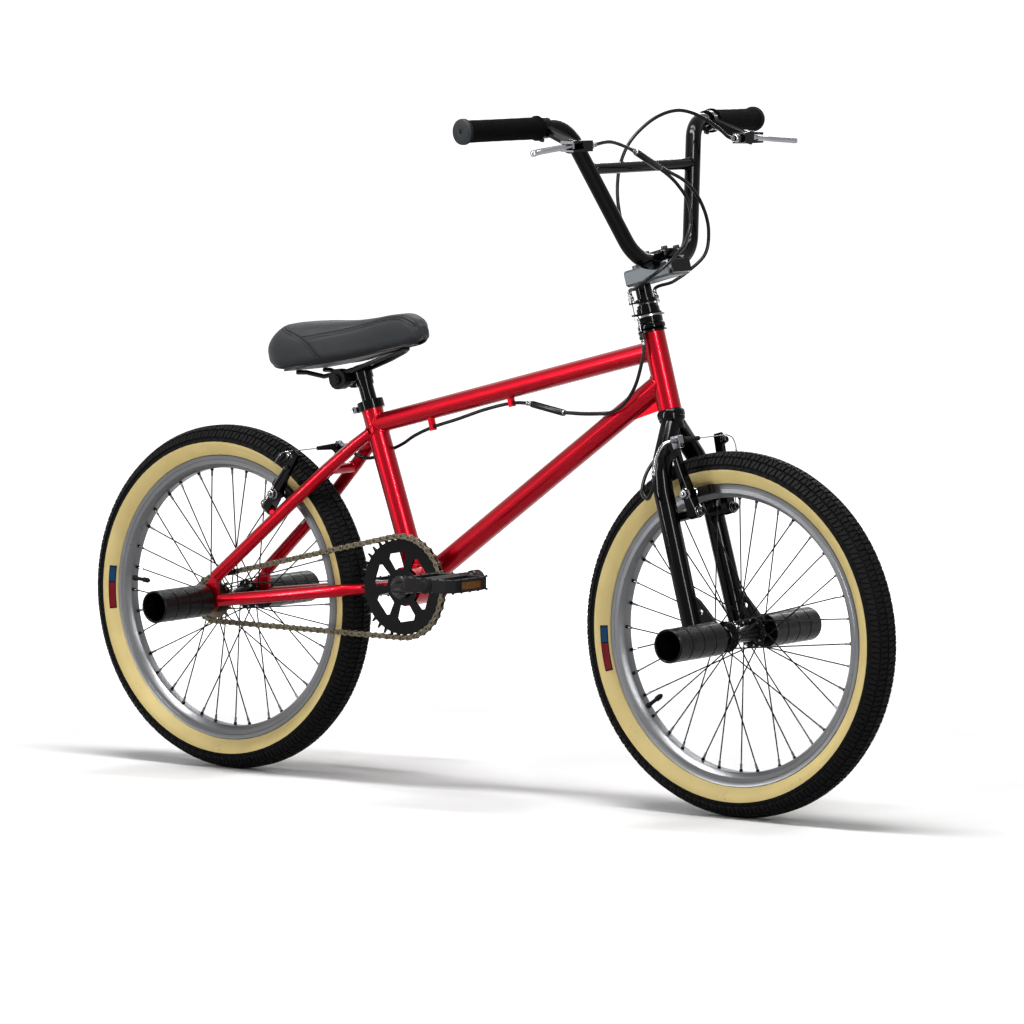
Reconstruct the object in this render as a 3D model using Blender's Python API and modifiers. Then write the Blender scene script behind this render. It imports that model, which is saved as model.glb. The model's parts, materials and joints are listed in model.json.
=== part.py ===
# Freestyle BMX bike, modelled in metres, +X forward, +Y to the rider's left, +Z up.
# The origin is on the floor, midway between the axles. The drive side is at -Y.

import math

import bmesh
import bpy
import numpy as np
from mathutils import Matrix, Vector

# Running clearance between touching pieces
GAP = 0.0003

# Wheels
WHEELBASE = 0.911
TYRE_HEIGHT = 0.0435
TYRE_WIDTH = 0.054
TYRE_CARCASS = 0.0035
TREAD_WIDTH = 0.020
RIM_RADIUS = 0.2095
RIM_WIDTH = 0.030
RIM_DEPTH = 0.0195
RIM_WALL = 0.0022
RIM_BRAKE_TRACK = 0.013
WHEEL_SEGMENTS = 36
VALVE_LENGTH = 0.030
VALVE_RADIUS = 0.0035
FRONT_VALVE_ANGLE = math.radians(-35)
REAR_VALVE_ANGLE = math.radians(5)
SPOKE_COUNT = 36
SPOKE_RADIUS = 0.0010
SPOKE_CROSSINGS = 3
SPOKE_RIM_STAGGER = 0.003
HUB_FLANGE_RADIUS = 0.0215
HUB_FLANGE_THICKNESS = 0.0055
HUB_SPOKE_CIRCLE = 0.0180
HUB_SHELL_RADIUS = 0.0115
HUB_BEARING_BORE = 0.0090
AXLE_RADIUS = 0.00475
FRONT_HUB_LENGTH = 0.100
REAR_HUB_LENGTH = 0.110
FRONT_FLANGE_RIGHT = -0.031
FRONT_FLANGE_LEFT = 0.031
REAR_FLANGE_RIGHT = -0.0265
REAR_FLANGE_LEFT = 0.034

# Pegs, one on each axle end
PEG_RADIUS = 0.0235
PEG_LENGTH = 0.108
PEG_WALL = 0.0030
PEG_END_WALL = 0.010
PEG_GROOVE_FROM_TIP = 0.040
PEG_GROOVE_DEPTH = 0.0010
PEG_GROOVE_WIDTH = 0.0016
FRONT_WASHER = 0.0024
REAR_WASHER = 0.0054
AXLE_NUT_RADIUS = 0.0095
AXLE_NUT_THICKNESS = 0.008

# Frame
BB_X = -0.1042
BB_OVER_AXLES = 0.0375
BB_WIDTH = 0.068
BB_RADIUS = 0.0285
BB_BORE = 0.0257
BB_CUP_BORE = 0.0200
BB_CUP_DEPTH = 0.010
SEAT_TUBE_ANGLE = math.radians(71.3)
SEAT_TUBE_LENGTH = 0.2745
SEAT_TUBE_RADIUS = 0.0159
SEAT_SLEEVE_DEPTH = 0.075
TOP_TUBE_RADIUS = 0.0143
TOP_TUBE_BELOW_SEAT_TOP = 0.0345
TOP_TUBE_BELOW_HEAD_TOP = 0.0245
DOWN_TUBE_RADIUS = 0.0162
DOWN_TUBE_ABOVE_HEAD_END = 0.0395
FRAME_WALL = 0.0016
STAY_RADIUS = 0.0095
STAY_WALL = 0.0013
DROPOUT_THICKNESS = 0.006
BRIDGE_RADIUS = 0.0075
GUIDE_RADIUS = 0.0058
BRIDGE_FROM_AXLE = Vector((0.2095, 0, 0.198))
BRIDGE_REACH = 0.030
GUSSET_LENGTH = 0.075
GUSSET_THICKNESS = 0.005
STAY_TAB_HALF = 0.0060
STAY_TAB_LENGTH = 0.013
CHAIN_STAY_BEND_AT_TYRE = 0.0105

# Steering, whose axis leans back
HEAD_ANGLE = math.radians(75)
FORK_OFFSET = 0.032
HEAD_TUBE_START = 0.3255
HEAD_TUBE_LENGTH = 0.1092
HEAD_TUBE_RADIUS = 0.0165
HEAD_CUP_RADIUS = 0.0198
HEAD_CUP_HEIGHT = 0.0115
STEERER_RADIUS = 0.0127
STEERER_WALL = 0.0013
FORK_LEG_RADIUS = 0.0143
FORK_LEG_SIDE = 0.0545
FORK_LEG_SETBACK = 0.003
FORK_CROWN_TOP = 0.3100
FORK_LEG_END = 0.022
LOCKNUT_HEIGHT = 0.0075
SPOOL_RADIUS = 0.0143
SPOOL_TOP = 0.4740
QUILL_RADIUS = 0.0111
QUILL_WALL = 0.0030
QUILL_END = 0.3950
STEM_BOTTOM = 0.5020
STEM_REACH = 0.044
STEM_HALF_WIDTH = 0.023
STEM_HEIGHT = 0.024
CLAMP_PLATE_HEIGHT = 0.014
BOLT_HEAD_RADIUS = 0.0090
BOLT_HEAD_HEIGHT = 0.0045
BOLT_BORE = 0.0040

# Handlebar, grips and brake levers
BAR_RADIUS = 0.0111
BAR_HALF_WIDTH = 0.339
BAR_BEND_FROM_END = 0.190
BAR_FOOT_SIDE = 0.062
BAR_TOP_OVER_AXLES = 0.699
BAR_TOP_X = 0.2765
BAR_SWEEP = 0.0315
BAR_TOP_BEND = 0.042
BAR_FOOT_BEND = 0.055
CROSSBAR_RADIUS = 0.008
CROSSBAR_SHARE = 0.69
GRIP_LENGTH = 0.140
GRIP_RADIUS = 0.0153
GRIP_FLANGE_RADIUS = 0.0178
GRIP_HOLE_RADIUS = 0.0030
LEVER_CLAMP_WIDTH = 0.012
LEVER_CLAMP_FROM_END = 0.147
LEVER_THICKNESS = 0.008
# Points of the left lever, from the middle of its ring on the bar
LEVER_HOUSING = Vector((0.06363, 0.008, -0.02355))
LEVER_PIVOT = Vector((0.06063, 0.020, -0.02355))
LEVER_TIP = Vector((0.06513, 0.114, -0.03055))

# Rotor that lets the bars spin without winding up the rear brake cable
ROTOR_RADIUS = 0.0165
UPPER_TAB_SIDE = 0.029
LOWER_TAB_SIDE = 0.0225
TAB_RADIUS = 0.0050
TAB_HOLE_RADIUS = 0.0018
ROTOR_PLATE = 0.0025
ROTOR_TRAVEL = 0.006

# Rim brakes
BRAKE_PIVOT_BELOW_RIM = 0.0345
BRAKE_PIVOT_SIDE = 0.040
BRAKE_ARM_LENGTH = 0.106
BRAKE_ARM_LEAN = 0.0145
BRAKE_ARM_THICKNESS = 0.012
BRAKE_BOSS_RADIUS = 0.0070
BRAKE_PIN_RADIUS = 0.0040
BRAKE_PAD_GAP = 0.0018
BRAKE_PAD_LENGTH = 0.050
BRAKE_PAD_HEIGHT = 0.011
BRAKE_PAD_THICKNESS = 0.0105
REAR_BRAKE_ANGLE = math.radians(52.5)
CABLE_RADIUS = 0.0025
CABLE_TURN_PER_STEP = math.radians(34)
CABLE_ON_ARM = (0.1010, 0.0092)
FRONT_GUIDE = (0.065, 0, 0.304)
REAR_GUIDE = (-0.074, -0.004, 0.265)
WIRE_RADIUS = 0.0010
BOOT_RADIUS = 0.0048
SPLITTER_RADIUS = 0.0046

# Drive
CHAIN_PITCH = 0.0127
CHAIN_LINKS = 82
CHAINWHEEL_TEETH = 36
FREEWHEEL_TEETH = 16
CHAINLINE = -0.0400
TOOTH_THICKNESS = 0.0030
CHAIN_PLATE_HEIGHT = 0.0042
CHAIN_ROLLER_HALF = 0.0032
CHAIN_INNER_WIDTH = 0.0022
CHAIN_PLATE = 0.0010
CHAINWHEEL_WINDOWS = 6
CHAINWHEEL_FIRST_WINDOW = math.radians(40)
CHAINWHEEL_WINDOW_INNER = 0.027
CHAINWHEEL_WINDOW_OUTER = 0.051
CHAINWHEEL_WINDOW_HALF = math.radians(21)
FREEWHEEL_BORE = 0.0132
CRANK_LENGTH = 0.165
CRANK_ANGLE = math.radians(8.5)
CRANK_RADIUS = 0.0100
CRANK_END_SIDE = 0.081
CRANK_EYE_RADIUS = 0.0125
CRANK_EYE_THICKNESS = 0.016
SPINDLE_RADIUS = 0.0110
PEDAL_SPINDLE_RADIUS = 0.0060
PEDAL_INNER_SIDE = 0.104
PEDAL_WIDTH = 0.090
PEDAL_LENGTH = 0.092
PEDAL_THICKNESS = 0.018
PEDAL_BARREL_RADIUS = 0.0115

# Saddle
POST_RADIUS = 0.0111
POST_EXPOSED = 0.0535
POST_LENGTH = 0.190
POST_SLEEVE_LENGTH = 0.030
POST_SLEEVE_RADIUS = 0.0130
SEAT_COLLAR_HEIGHT = 0.013
SADDLE_CLAMP_BACK = 0.028
SADDLE_CLAMP_RADIUS = 0.0150
SADDLE_TILT = math.radians(12)
SADDLE_LUG_HALF = 0.0100
SADDLE_DISC_THICKNESS = 0.0150
RAIL_RADIUS = 0.0035
RAIL_SIDE = 0.0195
RAIL_RISE = 0.0085
PAN_BOTTOM = 0.026
PAN_THICKNESS = 0.004
PAN_INSET = 0.009
PAN_START = -0.075
PAN_END = 0.133
SADDLE_RING = 16
# Saddle sections: ahead of the clamp bolt, then top, bottom and half width
SADDLE_SECTIONS = (
    (-0.092, 0.064, 0.047, 0.050),
    (-0.086, 0.080, 0.034, 0.064),
    (-0.065, 0.0925, 0.0240, 0.0745),
    (-0.029, 0.0900, 0.0200, 0.0740),
    (0.005, 0.0840, 0.0200, 0.0620),
    (0.041, 0.0785, 0.0215, 0.0440),
    (0.077, 0.0755, 0.0235, 0.0310),
    (0.111, 0.0740, 0.0245, 0.0260),
    (0.135, 0.0700, 0.0255, 0.0230),
    (0.147, 0.0610, 0.0290, 0.0180),
    (0.1525, 0.0490, 0.0350, 0.0100),
)

# Values that follow from the ones above
TYRE_RADIUS = RIM_RADIUS + TYRE_HEIGHT
BRAKE_PIVOT_RADIUS = RIM_RADIUS - BRAKE_PIVOT_BELOW_RIM
BAR_BEND_SIDE = BAR_HALF_WIDTH - BAR_BEND_FROM_END
BAR_TOP_HEIGHT = TYRE_RADIUS + BAR_TOP_OVER_AXLES
TOP_TUBE_ON_SEAT_TUBE = SEAT_TUBE_LENGTH - TOP_TUBE_BELOW_SEAT_TOP
POST_TOP = SEAT_TUBE_LENGTH + POST_EXPOSED
REAR_AXLE = Vector((-WHEELBASE / 2, 0, TYRE_RADIUS))
FRONT_AXLE = Vector((WHEELBASE / 2, 0, TYRE_RADIUS))
HEAD_UP = Vector((-math.cos(HEAD_ANGLE), 0, math.sin(HEAD_ANGLE)))
HEAD_FORWARD = Vector((math.sin(HEAD_ANGLE), 0, math.cos(HEAD_ANGLE)))
HEAD_FOOT = FRONT_AXLE - FORK_OFFSET * HEAD_FORWARD
HEAD_TUBE_TOP = HEAD_TUBE_START + HEAD_TUBE_LENGTH
BB_CENTRE = Vector((BB_X, 0, TYRE_RADIUS + BB_OVER_AXLES))
BRIDGE_CENTRE = REAR_AXLE + BRIDGE_FROM_AXLE
CHAIN_STAY_BEND = TYRE_RADIUS - CHAIN_STAY_BEND_AT_TYRE
# Each stay's run from its dropout: ahead of the rear axle, aside, above it, and the tube's radius there
CHAIN_STAY_ROUTE = (
    (0.0255, 0.057, 0.001, 0.0095),
    (CHAIN_STAY_BEND - 0.022, 0.043, 0.024, 0.0095),
    (CHAIN_STAY_BEND, 0.036, 0.026, 0.0090),
    (CHAIN_STAY_BEND + 0.023, 0.0270, 0.0285, 0.0076),
    (0.3335, 0.0205, 0.0360, 0.0076),
)
SEAT_STAY_ROUTE = (
    (0.0185, 0.057, 0.036, 0.0095),
    (0.1555, 0.0435, 0.152, 0.0095),
    (0.2085, 0.031, 0.199, 0.0095),
    (0.2505, 0.019, 0.235, 0.0090),
    (0.2725, 0.0112, 0.253, 0.0080),
)
SEAT_UP = Vector((-math.cos(SEAT_TUBE_ANGLE), 0, math.sin(SEAT_TUBE_ANGLE)))
STEERER_BORE = STEERER_RADIUS - STEERER_WALL
FRONT_DROPOUT_SIDE = (FRONT_HUB_LENGTH + DROPOUT_THICKNESS) / 2
REAR_DROPOUT_SIDE = (REAR_HUB_LENGTH + DROPOUT_THICKNESS) / 2
REAR_BRAKE_UP = Vector((math.cos(REAR_BRAKE_ANGLE), 0, math.sin(REAR_BRAKE_ANGLE)))
REAR_BRAKE_OUT = Vector((-math.sin(REAR_BRAKE_ANGLE), 0, math.cos(REAR_BRAKE_ANGLE)))
BAR_CENTRE_ALONG = STEM_BOTTOM + STEM_HEIGHT
CHAINWHEEL_PITCH_RADIUS = CHAIN_PITCH / (2 * math.sin(math.pi / CHAINWHEEL_TEETH))
FREEWHEEL_PITCH_RADIUS = CHAIN_PITCH / (2 * math.sin(math.pi / FREEWHEEL_TEETH))
CRANK_FORWARD = Vector((math.cos(CRANK_ANGLE), 0, math.sin(CRANK_ANGLE)))
SADDLE_FORWARD = Vector((math.cos(SADDLE_TILT), 0, math.sin(SADDLE_TILT)))
SADDLE_UP = Vector((-math.sin(SADDLE_TILT), 0, math.cos(SADDLE_TILT)))
SIDE = Vector((0, 1, 0))


# Scene, collections and materials

for old in list(bpy.data.objects):
    bpy.data.objects.remove(old, do_unlink=True)

PARTS = bpy.data.collections.new("freestyle_bmx_bike")
CUTTERS = bpy.data.collections.new("cutters")
for group in (PARTS, CUTTERS):
    bpy.context.scene.collection.children.link(group)


def material(name, color, roughness, metallic):
    made = bpy.data.materials.new(name)
    made.use_nodes = True
    shader = made.node_tree.nodes["Principled BSDF"]
    shader.inputs["Base Color"].default_value = (*color, 1)
    shader.inputs["Roughness"].default_value = roughness
    shader.inputs["Metallic"].default_value = metallic
    return made


CANDY_RED = material("candy_red_paint", (0.42, 0.008, 0.015), 0.22, 0.5)
GLOSS_BLACK = material("gloss_black_paint", (0.008, 0.008, 0.009), 0.18, 0.1)
BLACK_ALLOY = material("black_alloy", (0.015, 0.015, 0.016), 0.35, 0.9)
RIM_ALLOY = material("brushed_rim", (0.45, 0.45, 0.46), 0.38, 1.0)
BRIGHT_STEEL = material("bright_steel", (0.62, 0.62, 0.63), 0.22, 1.0)
CHAIN_STEEL = material("bronzed_chain", (0.20, 0.16, 0.11), 0.4, 1.0)
TYRE_RUBBER = material("tyre_rubber", (0.020, 0.020, 0.021), 0.75, 0.0)
GRIP_FOAM = material("grip_foam", (0.012, 0.012, 0.012), 0.85, 0.0)
BLACK_PLASTIC = material("black_plastic", (0.018, 0.018, 0.019), 0.45, 0.0)
SADDLE_VINYL = material("saddle_vinyl", (0.030, 0.031, 0.033), 0.5, 0.0)


# Building helpers


def head_point(along, forward=0.0, side=0.0):
    """A point by its distance up the steering axis, ahead of it and to its left."""
    return HEAD_FOOT + along * HEAD_UP + forward * HEAD_FORWARD + side * SIDE


def seat_point(along, side=0.0):
    return BB_CENTRE + along * SEAT_UP + side * SIDE


def above_axles(ahead, side, height):
    """A point by its distance ahead of the origin, to the left and above the axles."""
    return Vector((ahead, side, TYRE_RADIUS + height))


def place(obj, location=(0, 0, 0), axis=None):
    """Puts an object at a point, with its own Z turned to the axis."""
    obj.location = location
    if axis is not None:
        obj.rotation_euler = Vector(axis).to_track_quat("Z", "Y").to_euler()
    return obj


def add_object(name, data, look=None, group=PARTS):
    obj = bpy.data.objects.new(name, data)
    group.objects.link(obj)
    if look is not None:
        data.materials.append(look)
    return obj


def to_cutters(obj):
    for group in list(obj.users_collection):
        group.objects.unlink(obj)
    CUTTERS.objects.link(obj)
    obj.hide_render = True
    obj.display_type = "WIRE"
    return obj


def boolean(obj, other, operation):
    to_cutters(other)
    step = obj.modifiers.new(f"{operation.lower()} {other.name}", "BOOLEAN")
    step.operation = operation
    step.object = other
    return obj


def cut(obj, *others):
    for other in others:
        boolean(obj, other, "DIFFERENCE")
    return obj


def unite(obj, *others):
    for other in others:
        boolean(obj, other, "UNION")
    return obj


def soften(obj, width, segments=1):
    step = obj.modifiers.new("rounded edges", "BEVEL")
    step.width = width
    step.segments = segments
    step.limit_method = "ANGLE"
    step.angle_limit = math.radians(40)
    return obj


def smooth(obj, angle=35):
    obj.data.shade_smooth()
    obj.data.set_sharp_from_angle(angle=math.radians(angle))
    return obj


def cylinder(name, start, end, radius, look=None, segments=16, end_radius=None):
    start, end = Vector(start), Vector(end)
    bm = bmesh.new()
    far_radius = radius if end_radius is None else end_radius
    bmesh.ops.create_cone(
        bm, cap_ends=True, segments=segments, radius1=radius, radius2=far_radius, depth=(end - start).length
    )
    mesh = bpy.data.meshes.new(name)
    bm.to_mesh(mesh)
    bm.free()
    obj = place(add_object(name, mesh, look), (start + end) / 2, end - start)
    return smooth(obj)


def box(name, size, location, rotation=None, look=None):
    bm = bmesh.new()
    bmesh.ops.create_cube(bm, size=1.0)
    bmesh.ops.scale(bm, vec=size, verts=bm.verts)
    mesh = bpy.data.meshes.new(name)
    bm.to_mesh(mesh)
    bm.free()
    obj = place(add_object(name, mesh, look), location)
    if rotation is not None:
        obj.rotation_euler = rotation.to_euler()
    return obj


def turned(name, profile, location, axis, look=None, segments=24, closed=False):
    """Spins a profile of (radius, height) pairs, listed down its outer side, about the axis."""
    bm = bmesh.new()
    verts = [bm.verts.new((radius, 0, height)) for radius, height in profile]
    for first, second in zip(verts, verts[1:]):
        bm.edges.new((first, second))
    if closed:
        bm.edges.new((verts[-1], verts[0]))
    mesh = bpy.data.meshes.new(name)
    bm.to_mesh(mesh)
    bm.free()
    obj = place(add_object(name, mesh, look), location, axis)
    spin = obj.modifiers.new("turned", "SCREW")
    spin.steps = segments
    spin.render_steps = segments
    spin.use_merge_vertices = True
    spin.merge_threshold = 0.00001
    spin.use_smooth_shade = True
    return obj


def wire_curve(name, points, radius, sides=8, radii=None, caps=True):
    data = bpy.data.curves.new(name, "CURVE")
    data.dimensions = "3D"
    data.bevel_depth = radius
    data.bevel_resolution = (sides - 4) // 2
    data.use_fill_caps = caps
    spline = data.splines.new("POLY")
    spline.points.add(len(points) - 1)
    for index, point in enumerate(points):
        spline.points[index].co = (*point, 1)
        spline.points[index].radius = 1.0 if radii is None else radii[index] / radius
    return data


def wire(name, points, radius, look=None, sides=8, radii=None):
    return add_object(name, wire_curve(name, points, radius, sides, radii), look)


def wire_mesh(name, points, radius, look=None, sides=8, radii=None, caps=True):
    """The same tube as a mesh, so that it can be cut, joined or given a wall."""
    curve = add_object(name + "_path", wire_curve(name, points, radius, sides, radii, caps))
    bpy.context.view_layer.update()
    graph = bpy.context.evaluated_depsgraph_get()
    mesh = bpy.data.meshes.new_from_object(curve.evaluated_get(graph))
    bpy.data.objects.remove(curve, do_unlink=True)
    bm = bmesh.new()
    bm.from_mesh(mesh)
    bmesh.ops.remove_doubles(bm, verts=bm.verts, dist=0.000001)
    bm.to_mesh(mesh)
    bm.free()
    return smooth(add_object(name, mesh, look))


def pipe(name, points, radius, wall, look, sides=16, radii=None):
    """An open-ended tube of the given outer radius and wall."""
    obj = wire_mesh(name, points, radius, look, sides, radii, caps=False)
    step = obj.modifiers.new("wall", "SOLIDIFY")
    step.thickness = wall
    step.offset = -1
    return obj


def plate_curve(name, outlines, half_thickness):
    data = bpy.data.curves.new(name, "CURVE")
    data.dimensions = "2D"
    data.fill_mode = "BOTH"
    data.extrude = half_thickness
    for outline in outlines:
        spline = data.splines.new("POLY")
        spline.points.add(len(outline) - 1)
        spline.use_cyclic_u = True
        for index, (x, y) in enumerate(outline):
            spline.points[index].co = (x, y, 0, 1)
    return data


def plate_mesh(name, outlines, half_thickness, matrix, look=None):
    """A flat plate with holes, as a mesh that can be cut or joined."""
    curve = add_object(name + "_outline", plate_curve(name, outlines, half_thickness))
    bpy.context.view_layer.update()
    graph = bpy.context.evaluated_depsgraph_get()
    mesh = bpy.data.meshes.new_from_object(curve.evaluated_get(graph))
    bpy.data.objects.remove(curve, do_unlink=True)
    bm = bmesh.new()
    bm.from_mesh(mesh)
    bmesh.ops.remove_doubles(bm, verts=bm.verts, dist=0.000001)
    bm.to_mesh(mesh)
    bm.free()
    obj = add_object(name, mesh, look)
    obj.location = matrix.to_translation()
    obj.rotation_euler = matrix.to_euler()
    return obj


def frame_matrix(origin, x_axis, y_axis):
    """A matrix whose X and Y axes are given and whose Z axis completes them."""
    x_axis, y_axis = Vector(x_axis).normalized(), Vector(y_axis).normalized()
    z_axis = x_axis.cross(y_axis)
    turn = Matrix((x_axis, y_axis, z_axis)).transposed()
    return Matrix.Translation(Vector(origin)) @ turn.to_4x4()


def circle(radius, count, centre=(0.0, 0.0), start=0.0):
    angles = [start + 2 * math.pi * index / count for index in range(count)]
    return [(centre[0] + radius * math.cos(a), centre[1] + radius * math.sin(a)) for a in angles]


def arc(centre, radius, first, last, count):
    """Points of a flat arc, by angles in degrees."""
    return [
        (centre[0] + radius * math.cos(math.radians(a)), centre[1] + radius * math.sin(math.radians(a)))
        for a in np.linspace(first, last, count)
    ]


def bent_path(corners, bend_radii, steps=5):
    """A path through corners, with each inner corner rounded to its bend radius."""
    corners = [Vector(corner) for corner in corners]
    points = [corners[0]]
    for before, corner, after, radius in zip(corners, corners[1:], corners[2:], bend_radii):
        back, ahead = (before - corner).normalized(), (after - corner).normalized()
        half = back.angle(ahead) / 2
        reach = radius / math.tan(half)
        centre = corner + (back + ahead).normalized() * radius / math.sin(half)
        start, end = corner + back * reach, corner + ahead * reach
        for share in np.linspace(0, 1, steps):
            spoke = (start - centre).slerp(end - centre, float(share))
            points.append(centre + radius * spoke.normalized())
    return points + [corners[-1]]


def body_empty(name, location, axis):
    """The empty that a moving body hangs from, with its Z on the joint axis."""
    empty = bpy.data.objects.new(name, None)
    PARTS.objects.link(empty)
    empty.empty_display_size = 0.03
    return place(empty, location, axis)


def hang(empty, *objects):
    bpy.context.view_layer.update()
    for obj in objects:
        obj.parent = empty
        obj.matrix_parent_inverse = empty.matrix_world.inverted()


# Wheels


def mirrored_ring(outer, inner):
    """A closed profile, the same on both sides of the wheel, from its outer skin to its inner one."""
    down_outer = outer + [(r, -y) for r, y in reversed(outer)]
    up_inner = [(r, -y) for r, y in reversed(inner)] + inner
    return down_outer + up_inner


def tyre(name, centre):
    """A carcass open towards the rim, its edges seated on the rim's flanges."""
    half = TYRE_WIDTH / 2
    bead = RIM_WIDTH / 2
    bead_radius = RIM_RADIUS + GAP
    waist = (RIM_RADIUS + TYRE_RADIUS) / 2 - 0.0055
    outer = [
        (bead_radius, bead),
        (waist, half),
        (TYRE_RADIUS - 0.0110, half * 0.87),
        (TYRE_RADIUS, TREAD_WIDTH / 2),
    ]
    inner = [
        (TYRE_RADIUS - TYRE_CARCASS, TREAD_WIDTH / 3),
        (waist, half - TYRE_CARCASS),
        (bead_radius, bead - TYRE_CARCASS),
    ]
    return turned(name, mirrored_ring(outer, inner), centre, SIDE, TYRE_RUBBER, WHEEL_SEGMENTS, closed=True)


def rim(name, centre, valve_angle):
    """A rolled single-wall rim with flat brake tracks, and its valve at an angle above the rearward level."""
    half = RIM_WIDTH / 2
    floor = RIM_RADIUS - RIM_DEPTH
    well = [(RIM_RADIUS, half - RIM_WALL), (floor + RIM_WALL + 0.001, half * 0.45)]
    back = [(RIM_RADIUS, half), (RIM_RADIUS - RIM_BRAKE_TRACK, half), (floor, half * 0.55)]
    profile = mirrored_ring(well, back[::-1])
    wheel_rim = turned(name, profile, centre, SIDE, RIM_ALLOY, WHEEL_SEGMENTS, closed=True)
    away = Vector((-math.cos(valve_angle), 0, math.sin(valve_angle)))
    start, end = centre + away * (floor + RIM_WALL / 2), centre + away * (floor - VALVE_LENGTH)
    return unite(wheel_rim, cylinder(name + "_valve", start, end, VALVE_RADIUS, segments=8))


def spoke_bundle(name, flange_right, flange_left):
    """All spokes of a wheel as slim three-sided bars, crossed three times on each side."""
    per_side = SPOKE_COUNT // 2
    outer_radius = RIM_RADIUS - RIM_DEPTH - GAP
    lean = SPOKE_CROSSINGS * 2 * math.pi / per_side
    bm = bmesh.new()
    for index in range(SPOKE_COUNT):
        at_left = index % 2 == 1
        leading = (index // 2) % 2 == 0
        rim_angle = 2 * math.pi * index / SPOKE_COUNT
        hub_angle = rim_angle + (lean if leading else -lean)
        flange = flange_left if at_left else flange_right
        hub_side = flange + (0.0020 if leading else -0.0020)
        rim_side = SPOKE_RIM_STAGGER if at_left else -SPOKE_RIM_STAGGER
        start = Vector((HUB_SPOKE_CIRCLE * math.cos(hub_angle), HUB_SPOKE_CIRCLE * math.sin(hub_angle), hub_side))
        end = Vector((outer_radius * math.cos(rim_angle), outer_radius * math.sin(rim_angle), rim_side))
        turn = (end - start).to_track_quat("Z", "Y").to_matrix().to_4x4()
        spot = Matrix.Translation((start + end) / 2) @ turn
        bmesh.ops.create_cone(
            bm, cap_ends=True, segments=3, radius1=SPOKE_RADIUS, radius2=SPOKE_RADIUS,
            depth=(end - start).length, matrix=spot,
        )
    mesh = bpy.data.meshes.new(name)
    bm.to_mesh(mesh)
    bm.free()
    return add_object(name, mesh)


def hub(name, centre, length, flange_right, flange_left, thread_end=None):
    """A turned shell with two flanges and open bearing ends, laced with its spokes."""
    half_flange = HUB_FLANGE_THICKNESS / 2
    end = length / 2 - 0.004 if thread_end is None else thread_end
    left_end = length / 2 - 0.004
    shell = [
        (HUB_BEARING_BORE + 0.0025, left_end),
        (HUB_BEARING_BORE + 0.0035, flange_left + half_flange + 0.003),
        (HUB_FLANGE_RADIUS, flange_left + half_flange),
        (HUB_FLANGE_RADIUS, flange_left - half_flange),
        (HUB_SHELL_RADIUS, flange_left - half_flange - 0.004),
        (HUB_SHELL_RADIUS, flange_right + half_flange + 0.004),
        (HUB_FLANGE_RADIUS, flange_right + half_flange),
        (HUB_FLANGE_RADIUS, flange_right - half_flange),
        (HUB_BEARING_BORE + 0.0035, flange_right - half_flange - 0.003),
        (HUB_BEARING_BORE + 0.0025, -end),
        (HUB_BEARING_BORE, -end),
        (HUB_BEARING_BORE, left_end),
    ]
    made = turned(name, shell, centre, SIDE, BLACK_ALLOY, 14, closed=True)
    spokes = spoke_bundle(name + "_spokes", flange_right, flange_left)
    place(spokes, centre, SIDE)
    return unite(made, spokes)


def axle(name, centre, hub_length, washer, body):
    """Threaded rod with its cones, locknuts, washers and outer nuts, turned as one."""
    half = hub_length / 2
    dropout_out = half + DROPOUT_THICKNESS + GAP
    peg_start = dropout_out + washer + GAP
    nut_start = peg_start + PEG_END_WALL + GAP
    stations = [
        (0.0, nut_start + AXLE_NUT_THICKNESS + 0.003),
        (AXLE_RADIUS, nut_start + AXLE_NUT_THICKNESS + 0.003),
        (AXLE_RADIUS, nut_start + AXLE_NUT_THICKNESS),
        (AXLE_NUT_RADIUS, nut_start + AXLE_NUT_THICKNESS),
        (AXLE_NUT_RADIUS, nut_start),
        (AXLE_RADIUS, nut_start),
        (AXLE_RADIUS, dropout_out + washer),
        (0.0130, dropout_out + washer),
        (0.0130, dropout_out),
        (AXLE_RADIUS, dropout_out),
        (AXLE_RADIUS, half - GAP),
        (HUB_BEARING_BORE - GAP, half - GAP),
        (HUB_BEARING_BORE - GAP, half - 0.010),
        (AXLE_RADIUS, half - 0.014),
    ]
    profile = stations + [(radius, -side) for radius, side in reversed(stations)]
    return turned(name, profile, centre, SIDE, BRIGHT_STEEL, 8)


def peg(name, centre, hub_length, washer, sign):
    """A grooved sleeve with a deep open outer end and a bored wall at the dropout."""
    start = hub_length / 2 + DROPOUT_THICKNESS + washer + 2 * GAP
    tip = start + PEG_LENGTH
    groove = tip - PEG_GROOVE_FROM_TIP
    profile = [
        (PEG_RADIUS, tip),
        (PEG_RADIUS, groove + PEG_GROOVE_WIDTH),
        (PEG_RADIUS - PEG_GROOVE_DEPTH, groove),
        (PEG_RADIUS, groove - PEG_GROOVE_WIDTH),
        (PEG_RADIUS, start),
        (AXLE_RADIUS + GAP, start),
        (AXLE_RADIUS + GAP, start + PEG_END_WALL),
        (PEG_RADIUS - PEG_WALL, start + PEG_END_WALL),
        (PEG_RADIUS - PEG_WALL, tip),
    ]
    return turned(name, profile, centre, SIDE * sign, BLACK_ALLOY, 12, closed=True)


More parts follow.
